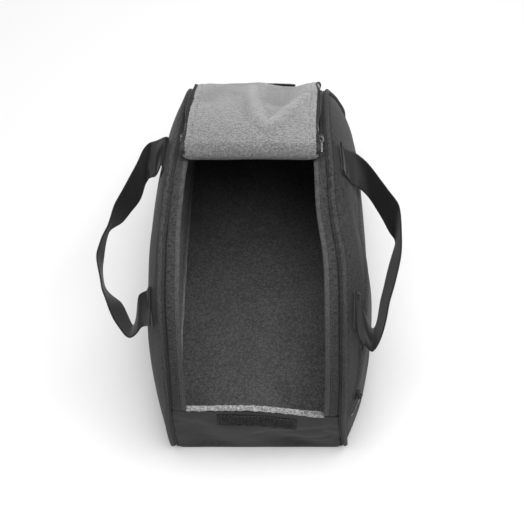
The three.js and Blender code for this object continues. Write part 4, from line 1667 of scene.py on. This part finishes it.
@dataclass
class Handle:
    """A webbing handle that has fallen outwards, twisted between its two sewn ends."""

    side: Side
    panel: Cloth
    rows: tuple[tuple[float, ...], ...]
    rear: float
    front: float
    width: float = 44.0
    length: float = 369.0
    thick: float = 1.9
    lift: float = 1.35
    turn_level: float = 0.955
    turn_reach: float = 5.5
    ribs: int = 14
    rib_height: float = 0.55
    levels: tuple[float, ...] = (0.885, 0.91, 0.935)

    def sewn(self, along: float, level: float, lift: float, turned: int) -> list[Vector]:
        """Station of the webbing where it lies on the panel.

        Args:
            along: Place of its middle along the panel.
            level: Place up the panel.
            lift: Height over the panel's cloth.
            turned: 1, or -1 where the webbing lies the other way round.

        Returns:
            Its inner edge, middle and outer edge.
        """
        face, step = self.panel.surface, 0.01
        stride = (face(along + step, level) - face(along - step, level)).length / (2 * step)
        places = [along + turned * edge * self.width / 2 / stride for edge in (-1, 0, 1)]
        return [self.panel.outer(a, level, lift)[0] for a in places]

    def free(self, row: tuple[float, ...]) -> list[Vector]:
        """Inner edge, middle and outer edge of the webbing in the air."""
        across = Vector(row[3:]).normalized() * (self.width / 2)
        return [Vector(row[:3]) + across * edge for edge in (-1, 0, 1)]

    def edges(self) -> list[Strand]:
        """The three lines that the webbing lies between.

        Returns:
            Its inner edge, middle and outer edge.
        """
        def end(along: float, turned: int) -> list[list[Vector]]:
            """Stations of one sewn end, from its tip to the bend."""
            flat = [self.sewn(along, level, self.lift, turned) for level in self.levels]
            return [*flat, self.sewn(along, self.turn_level, self.lift + self.turn_reach, turned)]

        stations = [*end(self.rear, 1), *map(self.free, self.rows), *reversed(end(self.front, -1))]
        return [Strand([station[k] for station in stations]) for k in range(3)]

    def build(self) -> None:
        """Build the webbing with its yarn ribs."""
        word = self.side.word
        inner, middle, outer = self.edges()

        def surface(u: float, v: float) -> Vector:
            """Point between the edges."""
            across = 2 * u - 1
            return middle.at(v).lerp((outer if across > 0 else inner).at(v), abs(across))

        heart = FORM.side(self.side, (self.rear + self.front) / 2, 0.7) * MM
        bm = to_grid(surface, self.ribs * 2, 130, (self.width * MM, self.length * MM), middle=heart)
        self.raise_ribs(bm)
        publish(f"webbing_{word}", bm, Finish.WEBBING, "webbing", [f"handle_{word}"], Wall(self.thick, offset=0.0))

    def raise_ribs(self, bm: bmesh.types.BMesh) -> None:
        """Lift every other line of the webbing into a rib.

        Args:
            bm: The webbing's mesh.
        """
        threads = bm.loops.layers.uv[THREADS]
        pitch = self.width * MM / (self.ribs * 2)
        for vert in bm.verts:
            line = round(vert.link_loops[0][threads].uv.x / pitch)
            vert.co += vert.normal * ((self.rib_height if line % 2 else -self.rib_height) * MM)


@dataclass
class Pocket:
    """The zip of the flat pocket in the right side, half hidden between two welts."""

    panel: Cloth
    teeth: Needle
    # number of the row, place along the panel, place up the panel
    course: Table = Table((
        (0, 0.57, 0.75), (1, 0.46, 0.76), (2, 0.35, 0.80), (3, 0.24, 0.82), (4, 0.15, 0.81), (5, 0.10, 0.82),
    ))
    half: float = 5.0
    tape: float = 1.2
    tape_lift: float = 0.9
    tape_flat: Flat = (0.01, 0.29)
    welt: float = 1.0
    welt_lift: float = 1.5
    welt_fall: float = 1.4
    welt_flat: Flat = (0.0104, 0.29)

    def line(self, place: float, across: float, lift: float) -> Vector:
        """Point beside the zip's line on the side panel.

        Args:
            place: Share of the way from the rear end to the slider.
            across: Half-widths of the tape up from the line.
            lift: Height over the panel's cloth.

        Returns:
            The point in millimetres.
        """
        at = min(max(place, 0.0), 1.0) * (len(self.course.rows) - 1)
        along, up = self.course.value(at, 1), self.course.value(at, 2)
        return self.panel.outer(along, up + across * self.half / FORM.height, lift)[0]

    def build(self) -> None:
        """Build the tape, the teeth and the welts."""
        def tape(u: float, v: float) -> Vector:
            """Point of the tape's outer face."""
            return self.line(v, 2 * u - 1, self.tape_lift)

        cut = Cloth(tape, self.tape_flat)
        strip = publish("pocket_tape", cut.grid(8, 80), Finish.ZIP_TAPE, "tape", ["pocket_zip"], Wall(self.tape))
        self.teeth.sew(cut.row((0.5, 0.01), (0.5, 0.95), 0.1), crosswise=True)
        # painted shade beside the zip: the lower welt is darkened a long way from its edge, as the painted shadow of
        # the upper welt
        self.build_welt("lower", (-2.3, -0.18), Relief(edge_dip=0.5, edge_width=1.2, edge_cover=3.2, edges="r"))
        self.build_welt("upper", (0.14, 2.3), Relief(edge_dip=0.5, edge_width=1.2, edge_cover=1.2, edges="l"))

    def build_welt(self, name: str, reach: tuple[float, float], folded: Relief) -> None:
        """Build one of the two welts.

        Args:
            name: Which welt.
            reach: From where to where it lies beside the zip's line.
            folded: Its folded edge beside the teeth, which lies in shade.
        """
        def face(u: float, v: float) -> Vector:
            """Point of the welt, thickest beside the teeth."""
            across = mix(*reach, u)
            return self.line(v, across, self.welt_lift - self.welt_fall * smoothstep(abs(across), 0.7, 2.4))

        bm = to_grid(face, 8, 90, self.welt_flat, folded)
        piece = publish(f"pocket_welt_{name}", bm, Finish.NYLON, "nylon", wall=Wall(self.welt))


@dataclass
class Hardware:
    """The zip sliders and pulls, rounded from the frame's own solids."""

    rounding: float = 0.35
    weld: float = 0.00001
    flat_angle: float = 0.02
    sharp_angle: float = 0.5

    def build(self) -> None:
        """Build a rounded copy of each solid."""
        for stem, finish, slot in (("main_left", Finish.PLATED, "metal"), ("main_right", Finish.PLATED, "metal"),
                                   ("pocket", Finish.PAINTED, "dark_metal")):
            self.copy(f"{stem}_slider", finish, slot, BAG)
            self.copy(f"{stem}_pull", finish, slot, f"{stem}_pull")

    def copy(self, node: str, finish: Finish, slot: str, body: str) -> None:
        """Copy one solid and round its edges.

        Args:
            node: The frame's node.
            finish: What it is made of.
            slot: Name of a material slot.
            body: The body that it rides on.
        """
        bm = bmesh.new()
        bm.from_mesh(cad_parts[node].data)
        bmesh.ops.remove_doubles(bm, verts=bm.verts, dist=self.weld)
        bmesh.ops.dissolve_limit(bm, angle_limit=self.flat_angle, verts=bm.verts, edges=bm.edges)
        sharp = [edge for edge in bm.edges if edge.is_manifold and edge.calc_face_angle() > self.sharp_angle]
        bmesh.ops.bevel(bm, geom=sharp, offset=self.rounding * MM, offset_type="OFFSET", affect="EDGES", segments=2,
                        profile=0.5, material=-1, clamp_overlap=True)
        publish(f"{node}_metal", bm, finish, slot, [node], body=body)


@dataclass(frozen=True)
class Studio:
    """Floor, soft lights and the photograph's camera."""

    camera_mm: tuple[float, float, float] = (53.6, -544.3, 1228.6)
    elevation: float = 64.0
    turn: float = -1.24
    roll: float = 1.18
    focal_px: float = 900.0
    frame_px: float = 524.0
    axis_px: float = 306.7
    sensor: float = 36.0
    floor_half: float = 8.0
    ambient: float = 0.28

    def build(self) -> None:
        """Build the camera, the floor and the lights."""
        self.build_camera()
        self.build_floor()
        self.light("key", (0.15, -0.1, 2.3), 1.6, 80.0)
        self.light("left", (-1.5, -0.4, 1.1), 1.4, 1.5)
        self.light("right", (1.5, -0.6, 1.1), 1.4, 4.5)
        world = bpy.data.worlds.new("studio")
        world.use_nodes = True
        sky = world.node_tree.nodes["Background"]
        sky.inputs["Color"].default_value = linear("#ffffff")
        sky.inputs["Strength"].default_value = self.ambient
        bpy.context.scene.world = world
        bpy.context.scene.view_settings.view_transform = "Standard"

    def build_camera(self) -> None:
        """Place the camera as the photograph's."""
        data = bpy.data.cameras.new("camera")
        data.sensor_width = self.sensor
        data.lens = self.sensor * self.focal_px / self.frame_px
        data.shift_x = 0.5 - self.axis_px / self.frame_px
        camera = bpy.data.objects.new("camera", data)
        camera.location = Vector(self.camera_mm) * MM
        aim = Matrix.Identity(3)
        for degrees, axis in ((self.turn, "Z"), (90 - self.elevation, "X"), (self.roll, "Z")):
            aim = aim @ Matrix.Rotation(math.radians(degrees), 3, axis)
        camera.rotation_euler = aim.to_euler()
        bpy.context.scene.collection.objects.link(camera)
        bpy.context.scene.camera = camera

    def build_floor(self) -> None:
        """Lay the pale floor."""
        bm = bmesh.new()
        bmesh.ops.create_grid(bm, x_segments=1, y_segments=1, size=self.floor_half)
        mesh = bpy.data.meshes.new("floor")
        bm.to_mesh(mesh)
        bm.free()
        floor = bpy.data.objects.new("floor", mesh)
        bpy.context.scene.collection.objects.link(floor)
        # matt paper sweep: an even pale grey that the lights lift to white
        material, _, _ = start_material("pale_floor", {"Base Color": linear("#d6d6d6"), "Roughness": 0.9})
        mesh.materials.append(material)

    def light(self, name: str, place: tuple[float, float, float], size: float, power: float) -> None:
        """Add one soft light aimed at the bag.

        Args:
            name: Its name.
            place: Where it stands, in metres.
            size: Its width in metres.
            power: Its power in watts.
        """
        data = bpy.data.lights.new(name, "AREA")
        data.size = size
        data.energy = power
        lamp = bpy.data.objects.new(name, data)
        lamp.location = place
        lamp.rotation_euler = (Vector(HEART) - Vector(place)).to_track_quat("-Z", "Y").to_euler()
        bpy.context.scene.collection.objects.link(lamp)


# Stations of the fallen handles from rear to front, in millimetres:
# X, Y and Z of the webbing's middle, then X, Y and Z of the direction across it
LEFT_HANDLE = (
    (-122, 58, 284, 0.7, 18.6, 11.7), (-129, 55, 285, 0.7, 18.6, 11.7), (-134, 49, 284, -0.3, 11.6, 18.7),
    (-139, 38, 281, -1.2, 3.9, 21.6), (-145, 25, 276, -4.4, -1.2, 21.5), (-152, 11, 271, -7.2, -5.3, 20.1),
    (-161, -2, 266, -6.0, -6.5, 20.2), (-169, -16, 260, -2.6, -8.0, 20.3), (-178, -24, 255, 3.0, -8.6, 20.0),
    (-183, -33, 250, 2.2, -9.0, 19.9), (-186, -44, 246, 1.4, -8.9, 20.1), (-188, -55, 242, 0.6, -8.7, 20.2),
    (-187, -69, 240, 2.2, -8.9, 20.0), (-184, -84, 239, 3.4, -9.2, 19.7), (-180, -98, 240, 2.9, -9.3, 19.7),
    (-173, -109, 241, 0.7, -9.7, 19.7), (-164, -121, 243, -3.0, -11.2, 18.7), (-156, -136, 246, -3.4, -11.5, 18.5),
    (-148, -149, 250, -1.4, -12.6, 18.0), (-139, -160, 256, 1.3, -14.1, 16.8), (-133, -154, 261, 3.2, -16.3, 14.4),
    (-130, -144, 266, 4.2, -19.6, 9.0), (-127, -138, 268, 4.4, -21.4, 2.8), (-119, -136, 270, 3.5, -21.7, -0.5),
)
RIGHT_HANDLE = (
    (113, 52, 279, -3.1, 18.5, 11.4), (124, 47, 278, -2.6, 18.6, 11.4), (139, 37, 271, -1.0, 14.4, 16.6),
    (152, 20, 265, 1.2, 9.5, 19.8), (163, 4, 260, 2.9, 8.4, 20.1), (172, -10, 255, 3.7, 11.2, 18.6),
    (176, -22, 250, 1.9, 2.3, 21.8), (177, -33, 246, 1.1, -4.9, 21.4), (176, -44, 243, 2.1, -8.2, 20.3),
    (173, -58, 240, 3.3, -9.6, 19.5), (168, -77, 237, 3.7, -9.8, 19.3), (163, -96, 236, 3.4, -9.8, 19.4),
    (158, -113, 236, 3.1, -9.5, 19.6), (154, -133, 238, 2.9, -9.4, 19.7), (150, -148, 241, 2.6, -10.3, 19.3),
    (144, -161, 246, 2.0, -15.2, 15.8), (137, -164, 253, 1.8, -21.4, 4.8), (130, -156, 260, 1.9, -20.4, -8.0),
    (123, -147, 265, 0.8, -20.3, -8.3),
)


def main() -> None:
    """Build the studio and every sub-assembly in order."""
    logging.basicConfig(level=logging.INFO)
    Studio().build()
    thread = Needle()
    teeth = Needle(long=2.4, radius=0.7, pitch=2.8)
    Base().build()
    sides = {side: SidePanel(side) for side in Side}
    for side, panel in sides.items():
        panel.build()
        MouthEdge(side, thread).build()
    FrontWall(thread).build()
    BackWall(thread, teeth).build()
    Flap(thread, teeth).build()
    left, right = sides[Side.LEFT].cloth_cut(), sides[Side.RIGHT].cloth_cut()
    Handle(Side.LEFT, left, LEFT_HANDLE, rear=0.558, front=0.318).build()
    Handle(Side.RIGHT, right, RIGHT_HANDLE, rear=0.55, front=0.31).build()
    Pocket(right, teeth).build()
    Hardware().build()
    publish("stitching", thread.mesh(), Finish.THREAD, "nylon")
    publish("zip_teeth", teeth.mesh(), Finish.COIL, "tape")


if __name__ == "__main__":
    main()
